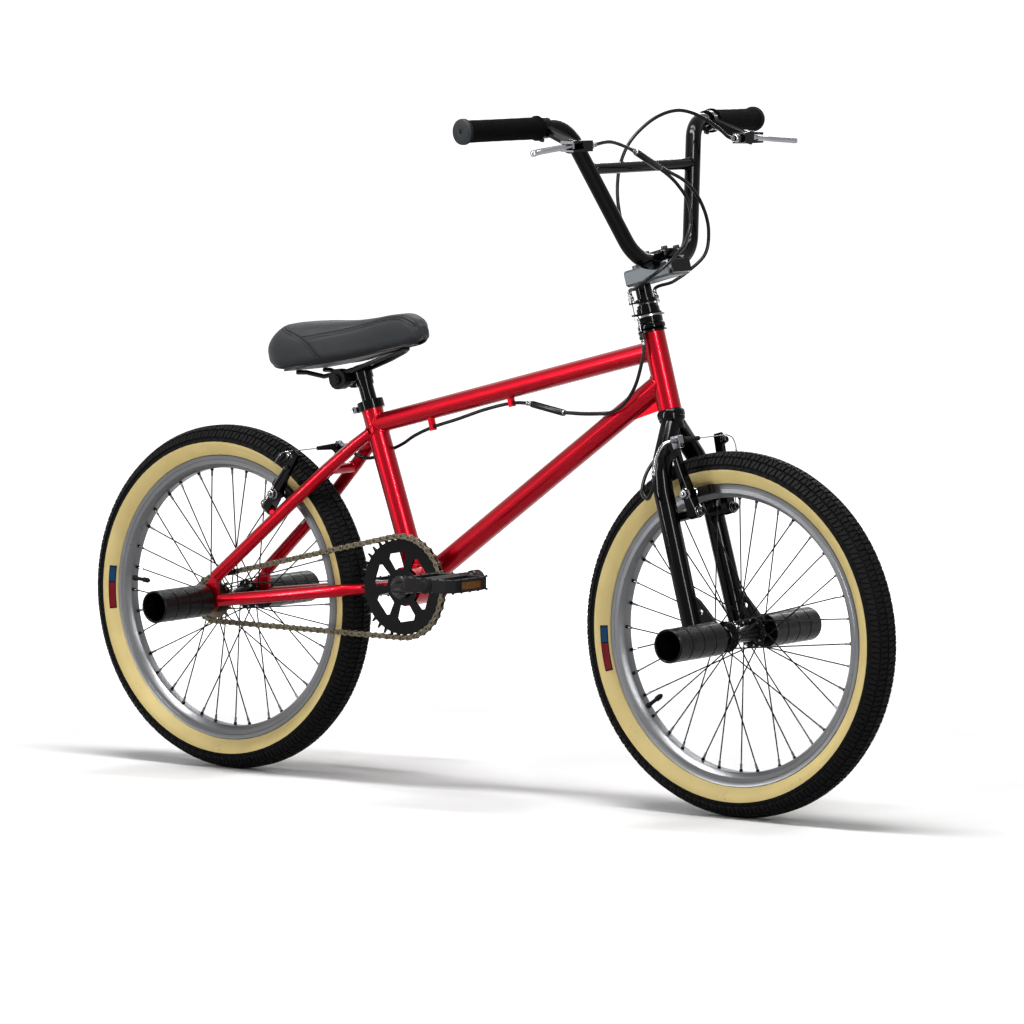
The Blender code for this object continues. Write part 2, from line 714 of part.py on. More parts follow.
wheels = {}
front_flanges, rear_flanges = (FRONT_FLANGE_RIGHT, FRONT_FLANGE_LEFT), (REAR_FLANGE_RIGHT, REAR_FLANGE_LEFT)
for title, middle, hub_length, flanges, washer, valve_angle in (
    ("front", FRONT_AXLE, FRONT_HUB_LENGTH, front_flanges, FRONT_WASHER, FRONT_VALVE_ANGLE),
    ("rear", REAR_AXLE, REAR_HUB_LENGTH, rear_flanges, REAR_WASHER, REAR_VALVE_ANGLE),
):
    spin = body_empty(f"{title}_wheel_axis", middle, SIDE)
    parts = [
        tyre(f"{title}_tyre", middle),
        rim(f"{title}_rim", middle, valve_angle),
        hub(f"{title}_hub", middle, hub_length, *flanges),
    ]
    hang(spin, *parts)
    wheels[title] = spin
    fixed = [axle(f"{title}_axle", middle, hub_length, washer, title)]
    fixed += [
        peg(f"{title}_peg_{side}", middle, hub_length, washer, sign) for side, sign in (("right", -1), ("left", 1))
    ]
    wheels[title + "_fixed"] = fixed


# Frame tubes


def rod(name, start, end, radius, look=None, segments=20, inner=0.0):
    """A straight turned bar, or a sleeve when an inner radius is given."""
    start, end = Vector(start), Vector(end)
    length = (end - start).length
    if inner:
        profile = [(radius, length), (radius, 0), (inner, 0), (inner, length)]
    else:
        profile = [(0, length), (radius, length), (radius, 0), (0, 0)]
    return turned(name, profile, start, end - start, look, segments, closed=inner > 0)


def head_space(name, radius=HEAD_TUBE_RADIUS):
    """The room that the head tube takes, for mitring the tubes that meet it."""
    start, end = head_point(HEAD_TUBE_START - 0.01), head_point(HEAD_TUBE_TOP + 0.01)
    return rod(name + "_head_mitre", start, end, radius + GAP)


def seat_space(name):
    start, end = seat_point(0.0), seat_point(SEAT_TUBE_LENGTH + 0.02)
    return rod(name + "_seat_mitre", start, end, SEAT_TUBE_RADIUS + GAP)


def bottom_bracket_space(name):
    reach = (BB_WIDTH / 2 + 0.01) * SIDE
    return rod(name + "_shell_mitre", BB_CENTRE - reach, BB_CENTRE + reach, BB_RADIUS + GAP, segments=16)


def side_plate(name, outline, holes, centre, side, thickness, look=None, x_axis=(1, 0, 0), y_axis=(0, 0, 1)):
    """A flat plate across the bike's side, with its outline given about the centre."""
    spot = frame_matrix(centre + side * SIDE, x_axis, y_axis)
    return plate_mesh(name, [outline, *holes], thickness / 2, spot, look)


def points_of(route, sign=1):
    return [REAR_AXLE + Vector((ahead, sign * aside, above)) for ahead, aside, above, _ in route]


def radii_of(route):
    return [radius for *_, radius in route]


head_tube = rod(
    "head_tube", head_point(HEAD_TUBE_START), head_point(HEAD_TUBE_TOP), HEAD_TUBE_RADIUS, CANDY_RED,
    inner=HEAD_TUBE_RADIUS - FRAME_WALL,
)

top_front = head_point(HEAD_TUBE_TOP - TOP_TUBE_BELOW_HEAD_TOP)
top_rear = seat_point(TOP_TUBE_ON_SEAT_TUBE)
top_tube = rod(
    "top_tube", top_rear, top_front, TOP_TUBE_RADIUS, CANDY_RED, 16, TOP_TUBE_RADIUS - FRAME_WALL
)
cut(top_tube, head_space("top_tube"), seat_space("top_tube"))

# The down tube has a gusset plate in the corner below the head tube
down_front = head_point(HEAD_TUBE_START + DOWN_TUBE_ABOVE_HEAD_END)
down_along = (down_front - BB_CENTRE).normalized()
down_below = Vector((down_along.z, 0, -down_along.x))
down_tube = rod(
    "down_tube", BB_CENTRE + down_along * 0.012, down_front, DOWN_TUBE_RADIUS, CANDY_RED, 16,
    DOWN_TUBE_RADIUS - FRAME_WALL,
)
gusset_corners = (
    down_front - down_along * GUSSET_LENGTH + down_below * (DOWN_TUBE_RADIUS - 0.001),
    head_point(HEAD_TUBE_START + 0.002, -HEAD_TUBE_RADIUS),
    head_point(HEAD_TUBE_START + 0.002),
    down_front + down_below * (DOWN_TUBE_RADIUS - 0.005),
    down_front - down_along * GUSSET_LENGTH + down_below * (DOWN_TUBE_RADIUS - 0.005),
)
gusset = side_plate(
    "gusset", [(corner.x, corner.z) for corner in gusset_corners], [], Vector((0, 0, 0)), 0, GUSSET_THICKNESS
)
unite(down_tube, gusset)
cut(down_tube, head_space("down_tube"), bottom_bracket_space("down_tube"))

seat_bore = POST_RADIUS + GAP
seat_profile = [
    (SEAT_TUBE_RADIUS, SEAT_TUBE_LENGTH),
    (SEAT_TUBE_RADIUS, 0.012),
    (SEAT_TUBE_RADIUS - FRAME_WALL, 0.012),
    (SEAT_TUBE_RADIUS - FRAME_WALL, SEAT_TUBE_LENGTH - SEAT_SLEEVE_DEPTH),
    (seat_bore, SEAT_TUBE_LENGTH - SEAT_SLEEVE_DEPTH),
    (seat_bore, SEAT_TUBE_LENGTH),
]
seat_tube = turned("seat_tube", seat_profile, BB_CENTRE, SEAT_UP, CANDY_RED, 20, closed=True)
cut(seat_tube, bottom_bracket_space("seat_tube"))

shell_half = BB_WIDTH / 2
shell_profile = [
    (BB_RADIUS, shell_half),
    (BB_RADIUS, -shell_half),
    (BB_CUP_BORE, -shell_half),
    (BB_CUP_BORE, BB_CUP_DEPTH - shell_half),
    (BB_BORE, BB_CUP_DEPTH - shell_half),
    (BB_BORE, shell_half - BB_CUP_DEPTH),
    (BB_CUP_BORE, shell_half - BB_CUP_DEPTH),
    (BB_CUP_BORE, shell_half),
]
turned("bottom_bracket_shell", shell_profile, BB_CENTRE, SIDE, CANDY_RED, 16, closed=True)


# Rear triangle


def dropout_outline():
    """Rear dropout about the axle: an open slot to the back and a tab into each stay's end."""
    slot = AXLE_RADIUS + GAP
    outline = [(-0.017, -slot)] + arc((0, 0), slot, -90, 90, 7) + [(-0.017, slot), (-0.014, 0.013)]
    outline.append((0.004, 0.026))
    for route in (SEAT_STAY_ROUTE, CHAIN_STAY_ROUTE):
        start, following = points_of(route)[:2]
        along = Vector((following.x - start.x, 0, following.z - start.z)).normalized()
        across = Vector((-along.z, 0, along.x))
        foot = start - REAR_AXLE
        corners = (
            foot + across * STAY_TAB_HALF - along * 0.001,
            foot + across * STAY_TAB_HALF + along * STAY_TAB_LENGTH,
            foot - across * STAY_TAB_HALF + along * STAY_TAB_LENGTH,
            foot - across * STAY_TAB_HALF - along * 0.001,
        )
        outline += [(corner.x, corner.z) for corner in corners]
    return outline + [(0.013, -0.015), (-0.004, -0.017), (-0.015, -0.013)]


def brake_boss(name, pivot, up, out, reach):
    """The stud that a brake arm turns on: a boss from the frame, a pin and a retaining head."""
    half = BRAKE_ARM_THICKNESS / 2
    profile = [
        (0, half + GAP + 0.004),
        (BRAKE_BOSS_RADIUS - 0.001, half + GAP + 0.004),
        (BRAKE_BOSS_RADIUS - 0.001, half + GAP),
        (BRAKE_PIN_RADIUS, half + GAP),
        (BRAKE_PIN_RADIUS, -half - GAP),
        (BRAKE_BOSS_RADIUS, -half - GAP),
        (BRAKE_BOSS_RADIUS, -reach),
        (0, -reach),
    ]
    return turned(name, profile, pivot, out, segments=8)


def rear_pivot(sign):
    return REAR_AXLE + BRAKE_PIVOT_RADIUS * REAR_BRAKE_UP + sign * BRAKE_PIVOT_SIDE * SIDE


def front_pivot(sign):
    return head_point(BRAKE_PIVOT_RADIUS, FORK_OFFSET, sign * BRAKE_PIVOT_SIDE)


for side, sign in (("right", -1), ("left", 1)):
    chain_stay = pipe(
        f"chain_stay_{side}", points_of(CHAIN_STAY_ROUTE, sign), STAY_RADIUS, STAY_WALL, CANDY_RED, 10,
        radii_of(CHAIN_STAY_ROUTE),
    )
    cut(chain_stay, bottom_bracket_space(f"chain_stay_{side}"))
    seat_stay = pipe(
        f"seat_stay_{side}", points_of(SEAT_STAY_ROUTE, sign), STAY_RADIUS, STAY_WALL, CANDY_RED, 10,
        radii_of(SEAT_STAY_ROUTE),
    )
    unite(seat_stay, brake_boss(f"rear_boss_{side}", rear_pivot(sign), REAR_BRAKE_UP, REAR_BRAKE_OUT, 0.021))
    cut(seat_stay, seat_space(f"seat_stay_{side}"))
    side_plate(
        f"dropout_{side}", dropout_outline(), [], REAR_AXLE, sign * REAR_DROPOUT_SIDE, DROPOUT_THICKNESS,
        CANDY_RED,
    )

bridge = rod(
    "seat_stay_bridge", BRIDGE_CENTRE - BRIDGE_REACH * SIDE, BRIDGE_CENTRE + BRIDGE_REACH * SIDE, BRIDGE_RADIUS,
    CANDY_RED, 10, BRIDGE_RADIUS - STAY_WALL,
)
for side, sign in (("right", -1), ("left", 1)):
    grown = [radius + GAP for radius in radii_of(SEAT_STAY_ROUTE)]
    cut(bridge, wire_mesh(f"bridge_mitre_{side}", points_of(SEAT_STAY_ROUTE, sign), STAY_RADIUS, None, 10, grown))

collar_base = SEAT_TUBE_LENGTH - SEAT_COLLAR_HEIGHT
seat_clamp = rod(
    "seat_clamp", seat_point(collar_base), seat_point(SEAT_TUBE_LENGTH), SEAT_TUBE_RADIUS + 0.0035, GLOSS_BLACK,
    20, SEAT_TUBE_RADIUS + GAP,
)
lug_centre = seat_point(SEAT_TUBE_LENGTH - SEAT_COLLAR_HEIGHT / 2)
lug_back = Vector((-SEAT_UP.z, 0, SEAT_UP.x)) * (SEAT_TUBE_RADIUS + 0.0075)
clamp_lug = cylinder(
    "clamp_lug", lug_centre + lug_back - 0.009 * SIDE, lug_centre + lug_back + 0.009 * SIDE, 0.005, segments=12
)
unite(seat_clamp, clamp_lug)


# Headset, fork and front brake studs


def head_ring(name, profile, look=None, segments=16):
    """A turned ring about the steering axis, by (radius, height up the axis)."""
    return turned(name, profile, HEAD_FOOT, HEAD_UP, look, segments, closed=True)


def sleeve_profile(outer, inner, top, bottom):
    return [(outer, top), (outer, bottom), (inner, bottom), (inner, top)]


cup_bore = STEERER_RADIUS + 2 * GAP
lower_cup_top = HEAD_TUBE_START - GAP
lower_cup_bottom = HEAD_TUBE_START - HEAD_CUP_HEIGHT
lower_cup_profile = [
    (HEAD_TUBE_RADIUS, lower_cup_top),
    (HEAD_CUP_RADIUS, lower_cup_top - 0.004),
    (HEAD_CUP_RADIUS, lower_cup_bottom),
    (cup_bore, lower_cup_bottom),
    (cup_bore, lower_cup_top),
]
head_ring("headset_lower_cup", lower_cup_profile, GLOSS_BLACK)
lower_plate_bottom = HEAD_TUBE_TOP + GAP
lower_plate_top = lower_plate_bottom + ROTOR_PLATE
upper_cup_bottom = lower_plate_top + GAP
upper_cup_top = upper_cup_bottom + HEAD_CUP_HEIGHT - 0.0015
upper_cup_profile = [
    (HEAD_CUP_RADIUS - 0.002, upper_cup_top),
    (HEAD_CUP_RADIUS, upper_cup_top - 0.003),
    (HEAD_CUP_RADIUS, upper_cup_bottom + 0.003),
    (HEAD_TUBE_RADIUS, upper_cup_bottom),
    (cup_bore, upper_cup_bottom),
    (cup_bore, upper_cup_top),
]
head_ring("headset_upper_cup", upper_cup_profile, GLOSS_BLACK)
locknut_bottom = upper_cup_top + GAP
locknut_top = locknut_bottom + LOCKNUT_HEIGHT
steerer_top = locknut_top + 0.002
spool_bore = QUILL_RADIUS + 2 * GAP
locknut_profile = [
    (SPOOL_RADIUS, SPOOL_TOP),
    (SPOOL_RADIUS, locknut_top),
    (HEAD_TUBE_RADIUS + 0.0015, locknut_top),
    (HEAD_TUBE_RADIUS + 0.0015, locknut_bottom),
    (STEERER_RADIUS + GAP, locknut_bottom),
    (STEERER_RADIUS + GAP, steerer_top + GAP),
    (spool_bore, steerer_top + GAP),
    (spool_bore, SPOOL_TOP),
]
headset_locknut = head_ring("headset_locknut", locknut_profile, GLOSS_BLACK)


def leg_path(sign, end):
    """The fork leg's axis, as a bend out of the crown and a straight run to the given height."""
    corners = (
        head_point(FORK_CROWN_TOP - 0.008, 0, sign * 0.007),
        head_point(0.238, -FORK_LEG_SETBACK, sign * (FORK_LEG_SIDE - 0.0025)),
        head_point(end, -FORK_LEG_SETBACK, sign * FORK_LEG_SIDE),
    )
    return bent_path(corners, [0.080], 3)


def fork_end_outline():
    """Fork dropout, by (ahead of, up) the steering axis: a slot open downwards and a tab into the leg."""
    slot = AXLE_RADIUS + GAP
    axle = FORK_OFFSET
    outline = [(axle - slot, -0.0165)] + arc((axle, 0), slot, 180, 0, 7) + [(axle + slot, -0.0165)]
    outline += [(0.043, -0.012), (0.048, 0.000), (0.045, 0.012), (0.036, 0.023), (0.027, 0.040)]
    outline += [(0.018, 0.056), (0.008, 0.066), (-0.004, 0.064), (-0.011, 0.052), (-0.011, 0.027)]
    return outline + [(-0.004, 0.016), (0.009, 0.010), (0.017, 0.000), (0.020, -0.012)]


fork_profile = [
    (0, steerer_top),
    (STEERER_RADIUS, steerer_top),
    (STEERER_RADIUS, lower_cup_bottom - GAP),
    (HEAD_CUP_RADIUS - 0.001, lower_cup_bottom - GAP),
    (HEAD_CUP_RADIUS - 0.001, FORK_CROWN_TOP),
    (HEAD_TUBE_RADIUS - 0.001, FORK_CROWN_TOP - 0.004),
    (HEAD_TUBE_RADIUS - 0.001, FORK_CROWN_TOP - 0.014),
    (0, FORK_CROWN_TOP - 0.014),
]
fork = turned("fork", fork_profile, HEAD_FOOT, HEAD_UP, GLOSS_BLACK, 16)
for side, sign in (("right", -1), ("left", 1)):
    unite(fork, wire_mesh(f"fork_leg_{side}", leg_path(sign, FORK_LEG_END), FORK_LEG_RADIUS, sides=12))
for side, sign in (("right", -1), ("left", 1)):
    reach = FORK_OFFSET + FORK_LEG_SETBACK - 0.004
    unite(fork, brake_boss(f"front_boss_{side}", front_pivot(sign), HEAD_UP, HEAD_FORWARD, reach))
cut(
    fork,
    rod("steerer_core", head_point(FORK_CROWN_TOP - 0.03), head_point(steerer_top + 0.01), STEERER_BORE, segments=16),
)
for side, sign in (("right", -1), ("left", 1)):
    fork_end = side_plate(
        f"fork_end_{side}", fork_end_outline(), [circle(0.004, 8, (0.017, 0.040))], HEAD_FOOT,
        sign * FRONT_DROPOUT_SIDE, DROPOUT_THICKNESS, None, HEAD_FORWARD, HEAD_UP,
    )
    unite(fork, fork_end)


# Stem and handlebar

bar_centre = head_point(BAR_CENTRE_ALONG, STEM_REACH)


def bar_path():
    """The handlebar's axis from the right end to the left."""
    half = (
        Vector((BAR_TOP_X - BAR_SWEEP, BAR_HALF_WIDTH, BAR_TOP_HEIGHT - 0.002)),
        Vector((BAR_TOP_X, BAR_BEND_SIDE, BAR_TOP_HEIGHT)),
        bar_centre + BAR_FOOT_SIDE * SIDE,
    )
    right = [Vector((x, -y, z)) for x, y, z in half]
    return bent_path(right + list(half)[::-1], (BAR_TOP_BEND, BAR_FOOT_BEND, BAR_FOOT_BEND, BAR_TOP_BEND), 4)


upright_foot = bar_centre + BAR_FOOT_SIDE * SIDE
upright_head = Vector((BAR_TOP_X, BAR_BEND_SIDE, BAR_TOP_HEIGHT))
brace_end = upright_foot.lerp(upright_head, CROSSBAR_SHARE)
handlebar = wire_mesh("handlebar", bar_path(), BAR_RADIUS, GLOSS_BLACK, 12)
crossbar = rod("crossbar", brace_end - 2 * brace_end.y * SIDE, brace_end, CROSSBAR_RADIUS, segments=10)
unite(handlebar, crossbar)


def steered_box(name, forward, up, half_width, look=None):
    """A box by its range ahead of the steering axis, its range up the axis and its half width."""
    size = (forward[1] - forward[0], 2 * half_width, up[1] - up[0])
    centre = head_point(sum(up) / 2, sum(forward) / 2)
    turn = frame_matrix(centre, HEAD_FORWARD, SIDE)
    return box(name, size, centre, turn, look)


def bar_space(name, extra=GAP):
    reach = (STEM_HALF_WIDTH + 0.01) * SIDE
    return rod(name + "_bar_groove", bar_centre - reach, bar_centre + reach, BAR_RADIUS + extra, segments=24)


stem = steered_box("stem", (-0.013, 0.067), (STEM_BOTTOM, BAR_CENTRE_ALONG - 0.0012), STEM_HALF_WIDTH, GLOSS_BLACK)
soften(stem, 0.003)
quill_profile = [
    (BOLT_HEAD_RADIUS, BAR_CENTRE_ALONG + BOLT_HEAD_HEIGHT),
    (BOLT_HEAD_RADIUS, BAR_CENTRE_ALONG - 0.004),
    (QUILL_RADIUS, BAR_CENTRE_ALONG - 0.004),
    (QUILL_RADIUS, QUILL_END),
    (QUILL_RADIUS - QUILL_WALL, QUILL_END),
    (QUILL_RADIUS - QUILL_WALL, BAR_CENTRE_ALONG - 0.008),
    (BOLT_BORE, BAR_CENTRE_ALONG - 0.006),
    (BOLT_BORE, BAR_CENTRE_ALONG + BOLT_HEAD_HEIGHT),
]
hollow = rod("stem_hollow", head_point(STEM_BOTTOM - 0.01), head_point(BAR_CENTRE_ALONG + 0.01), QUILL_RADIUS - 0.001)
cut(stem, bar_space("stem"), hollow)
unite(stem, head_ring("quill", quill_profile))

clamp_bottom = BAR_CENTRE_ALONG - 0.0006
stem_cap = steered_box(
    "stem_cap", (0.022, 0.066), (clamp_bottom, clamp_bottom + CLAMP_PLATE_HEIGHT + 0.0006), STEM_HALF_WIDTH,
    GLOSS_BLACK,
)
soften(stem_cap, 0.003)
cut(stem_cap, bar_space("stem_cap"))
for ahead in (STEM_REACH - 0.016, STEM_REACH + 0.016):
    for across in (-0.014, 0.014):
        foot = head_point(BAR_CENTRE_ALONG + CLAMP_PLATE_HEIGHT - 0.003, ahead, across)
        unite(stem_cap, cylinder("clamp_bolt", foot, foot + 0.006 * HEAD_UP, 0.0042, segments=8))


def grip_profile(length):
    """From the inner flange to the capped outer end, with a hole through the end."""
    bore = BAR_RADIUS + 2 * GAP
    return [
        (GRIP_FLANGE_RADIUS - 0.001, length + 0.003),
        (GRIP_FLANGE_RADIUS, length - 0.002),
        (GRIP_RADIUS, length - 0.005),
        (GRIP_RADIUS - 0.0005, length / 2),
        (GRIP_RADIUS, 0.006),
        (GRIP_FLANGE_RADIUS - 0.0008, 0.004),
        (GRIP_FLANGE_RADIUS - 0.0008, 0),
        (bore, 0),
        (bore, length + GAP),
        (GRIP_HOLE_RADIUS, length + GAP),
        (GRIP_HOLE_RADIUS, length + 0.003),
    ]


def on_bar(side_distance, sign):
    """A point on the straight outer part of the handlebar's axis."""
    tip = Vector((BAR_TOP_X - BAR_SWEEP, BAR_HALF_WIDTH, BAR_TOP_HEIGHT - 0.002))
    share = (side_distance - BAR_BEND_SIDE) / (BAR_HALF_WIDTH - BAR_BEND_SIDE)
    point = upright_head.lerp(tip, share)
    return Vector((point.x, sign * point.y, point.z))


def mirrored(vector, sign):
    return Vector((vector.x, sign * vector.y, vector.z))


def lever_spot(offset, sign):
    """A point of either lever, by its offset from the lever's ring on the bar."""
    return on_bar(BAR_HALF_WIDTH - LEVER_CLAMP_FROM_END, sign) + mirrored(offset, sign)


steered = [fork, stem, stem_cap, handlebar, headset_locknut]
levers = {}
for side, sign in (("right", -1), ("left", 1)):
    bar_end = on_bar(BAR_HALF_WIDTH, sign)
    outward = (bar_end - on_bar(BAR_BEND_SIDE, sign)).normalized()
    grip_start = bar_end - outward * GRIP_LENGTH
    grip = turned(
        f"grip_{side}", grip_profile(GRIP_LENGTH), grip_start, outward, GRIP_FOAM, 14, closed=True
    )

    # The lever bracket reaches from its ring on the bar to a slotted housing around the blade
    ring = on_bar(BAR_HALF_WIDTH - LEVER_CLAMP_FROM_END, sign)
    housing, pivot, tip = (lever_spot(offset, sign) for offset in (LEVER_HOUSING, LEVER_PIVOT, LEVER_TIP))
    half_ring = LEVER_CLAMP_WIDTH / 2
    bracket = rod(
        f"lever_bracket_{side}", ring - outward * half_ring, ring + outward * half_ring, BAR_RADIUS + 0.004,
        GLOSS_BLACK, 12,
    )
    reach_to = (housing - ring).normalized()
    neck = cylinder(f"lever_neck_{side}", ring + reach_to * 0.006, housing - reach_to * 0.002, 0.0080, segments=8)
    block = box(f"lever_block_{side}", (0.022, 0.044, 0.015), housing)
    adjuster_end = housing - Vector((0, sign * 0.034, 0))
    adjuster = cylinder(f"lever_adjuster_{side}", housing, adjuster_end, 0.0050, segments=8)
    unite(bracket, neck, block, adjuster)
    along = tip - pivot
    blade_length = along.length
    along.normalize()
    ahead = (Vector((1, 0, 0)) - along * along.x).normalized()
    blade_turn = frame_matrix(pivot, along, ahead)
    slot_size = (0.034, 0.040, LEVER_THICKNESS + 2 * GAP)
    slot = box(f"lever_slot_{side}", slot_size, pivot + along * 0.005 + ahead * 0.007, blade_turn)
    ring_bore = rod(
        f"ring_bore_{side}", ring - outward * 0.01, ring + outward * 0.01, BAR_RADIUS + 2 * GAP, segments=12
    )
    cable_bore = cylinder(
        f"adjuster_bore_{side}", adjuster_end + Vector((0, -sign * 0.01, 0)), adjuster_end + Vector((0, sign * 0.02, 0)),
        0.0032, segments=6,
    )
    cut(bracket, slot, ring_bore, cable_bore)
    pin_reach = along.cross(ahead) * 0.0068
    unite(bracket, cylinder(f"lever_pin_{side}", pivot - pin_reach, pivot + pin_reach, 0.0025, segments=8))

    # The blade is drawn from the pivot (0, 0) outwards, with its hooked tip forward
    outline = arc((0, 0), 0.0075, 250, 110, 6)
    outline += [(0.020, 0.0068), (0.045, 0.0048), (0.075, 0.0058), (blade_length - 0.004, 0.0088)]
    outline += [(blade_length, 0.0060), (blade_length - 0.004, -0.0005)]
    outline += [(0.075, -0.0050), (0.045, -0.0062), (0.020, -0.0062)]
    blade = plate_mesh(
        f"brake_lever_{side}", [outline, circle(0.0025 + 2 * GAP, 8)], LEVER_THICKNESS / 2, blade_turn, BRIGHT_STEEL
    )
    levers[side] = (blade, pivot, ahead.cross(along))
    steered += [grip, bracket]


# Brake arms, each with its pad and its cable fitting


def brake_arm(name, pivot, up, out, sign, holds_noodle):
    """An arm in its own plane (towards the wheel's side, up from the pivot), with its pad at the rim."""
    half = BRAKE_ARM_THICKNESS / 2
    top_side, top = BRAKE_ARM_LEAN, BRAKE_ARM_LENGTH
    outline = arc((0, 0), 0.0085, 180, 360, 6)
    outline += [(0.0105, 0.020), (0.0125, 0.050), (top_side + 0.0038, top - 0.003), (top_side + 0.0015, top)]
    outline += [(top_side - 0.0022, top), (top_side - 0.0040, top - 0.004), (0.0050, 0.058), (-0.0010, 0.042)]
    outline += [(-0.0060, 0.020)]
    hole = circle(BRAKE_PIN_RADIUS + GAP + 0.0002, 12)
    spot = frame_matrix(pivot, sign * SIDE, up)
    arm = plate_mesh(name, [outline, hole], half, spot, GLOSS_BLACK)

    def at(aside, height, ahead=0.0):
        return pivot + sign * aside * SIDE + height * up + ahead * out

    pad_height = (RIM_RADIUS - RIM_BRAKE_TRACK / 2) - BRAKE_PIVOT_RADIUS
    pad_face = RIM_WIDTH / 2 + BRAKE_PAD_GAP - BRAKE_PIVOT_SIDE
    pad_turn = frame_matrix(pivot, out, sign * SIDE)
    pad_size = (BRAKE_PAD_LENGTH, BRAKE_PAD_THICKNESS, BRAKE_PAD_HEIGHT)
    pad = box(name + "_pad", pad_size, at(pad_face + BRAKE_PAD_THICKNESS / 2, pad_height), pad_turn)
    post = cylinder(
        name + "_pad_post", at(pad_face + BRAKE_PAD_THICKNESS / 2, pad_height), at(0.0160, pad_height), 0.0045,
        segments=10,
    )
    unite(arm, pad, post)
    wire_height, wire_ahead = CABLE_ON_ARM
    side_at_wire = top_side - 0.0002
    if holds_noodle:
        size = (0.0075, 0.0078, 0.010)
        centre = at(side_at_wire, wire_height, half + size[0] / 2 - 0.0005)
        holder = box(name + "_noodle_holder", size, centre, pad_turn)
        slot = box(
            name + "_noodle_slot", (0.0036, 0.02, 0.012), at(side_at_wire, wire_height + 0.0035, wire_ahead), pad_turn
        )
        unite(arm, holder)
        cut(arm, slot)
    else:
        foot = at(side_at_wire, wire_height - 0.0063, 0)
        unite(arm, cylinder(name + "_anchor_bolt", foot, foot + out * (half + 0.0055), 0.0042, segments=8))
    return arm


brake_arms = {}
for end, pivot_of, up, out, noodle_side in (
    ("front", front_pivot, HEAD_UP, HEAD_FORWARD, -1),
    ("rear", rear_pivot, REAR_BRAKE_UP, REAR_BRAKE_OUT, 1),
):
    for side, sign in (("right", -1), ("left", 1)):
        pivot = pivot_of(sign)
        arm = brake_arm(f"{end}_brake_arm_{side}", pivot, up, out, sign, sign == noodle_side)
        axis = body_empty(f"{end}_brake_axis_{side}", pivot, out)
        brake_arms[end, side] = (arm, axis)
        if end == "rear":
            hang(axis, arm)


# Rotor: plates and bearing, each with a tab for a cable on either side


def tabbed_plate(name, bottom, top, outer, inner, tab_side, look=GLOSS_BLACK):
    """A flat ring about the steering axis with two drilled tabs."""
    reach = math.degrees(math.asin(TAB_RADIUS / outer))
    outline = []
    for centre, turn in ((-tab_side, 270), (tab_side, 90)):
        outline += arc((-0.003, centre), TAB_RADIUS, turn - 90, turn + 90, 4)
        outline += arc((0, 0), outer, turn + reach + 12, turn + 180 - reach - 12, 5)
    holes = [circle(inner, 12), circle(TAB_HOLE_RADIUS, 5, (-0.003, tab_side))]
    holes.append(circle(TAB_HOLE_RADIUS, 5, (-0.003, -tab_side)))
    spot = frame_matrix(head_point((bottom + top) / 2), HEAD_FORWARD, SIDE)
    return plate_mesh(name, [outline, *holes], (top - bottom) / 2, spot, look)


spool_clear = SPOOL_RADIUS + 2 * GAP
gyro_lower_plate = tabbed_plate(
    "gyro_lower_plate", lower_plate_bottom, lower_plate_top, HEAD_CUP_RADIUS + 0.0005, cup_bore, LOWER_TAB_SIDE
)
bearing_base = locknut_top + 2 * GAP
gyro_bearing_lower = tabbed_plate(
    "gyro_bearing_lower", bearing_base, bearing_base + ROTOR_PLATE, ROTOR_RADIUS + 0.0050, spool_clear, LOWER_TAB_SIDE,
    BRIGHT_STEEL,
)
flange_base = bearing_base + ROTOR_PLATE + 2 * GAP
gyro_bearing_upper = tabbed_plate(
    "gyro_bearing_upper", flange_base, flange_base + ROTOR_PLATE, ROTOR_RADIUS + 0.0020, spool_clear, UPPER_TAB_SIDE,
    BRIGHT_STEEL,
)
barrel_top = SPOOL_TOP - ROTOR_TRAVEL + 0.0015
unite(
    gyro_bearing_upper,
    head_ring("bearing_barrel", sleeve_profile(ROTOR_RADIUS, spool_clear + 0.0001, barrel_top, flange_base + 0.001), segments=12),
)
upper_plate_bottom = SPOOL_TOP + 0.0020
upper_plate_top = upper_plate_bottom + ROTOR_PLATE
gyro_upper_plate = tabbed_plate(
    "gyro_upper_plate", upper_plate_bottom, upper_plate_top, ROTOR_RADIUS, spool_bore, UPPER_TAB_SIDE
)
collar_profile = sleeve_profile(ROTOR_RADIUS - 0.001, spool_bore + 0.0001, upper_plate_top + 0.004, upper_plate_bottom + 0.001)
unite(gyro_upper_plate, head_ring("plate_collar", collar_profile, segments=12))


# Cables, as points along each route with a radius at each


def cable_route(name, runs, look=BLACK_PLASTIC, sides=6):
    """One solid through several runs of (points, radius), stepping between radii where runs meet."""
    path, radii = [], []
    for points, radius in runs:
        points = eased_path(points)
        if path:
            points[0] = points[0].lerp(points[1], 0.0004 / (points[1] - points[0]).length)
        path += points
        radii += [radius] * len(points)
    return wire_mesh(name, path, CABLE_RADIUS, look, sides, radii)


def eased_path(points):
    """A Catmull-Rom curve through the points, with more steps where it turns more."""
    points = [point if isinstance(point, Vector) else above_axles(*point) for point in points]
    if len(points) == 2:
        return points
    ends = [2 * points[0] - points[1]] + points + [2 * points[-1] - points[-2]]
    path = [points[0]]
    for a, b, c, d in zip(ends, ends[1:], ends[2:], ends[3:]):
        count = max(1, round((c - a).angle(d - b) / CABLE_TURN_PER_STEP))
        for step in range(1, count + 1):
            t = step / count
            curve = 2 * b + (c - a) * t + (2 * a - 5 * b + 4 * c - d) * t**2
            path.append((curve + (3 * b - a - 3 * c + d) * t**3) / 2)
    return path


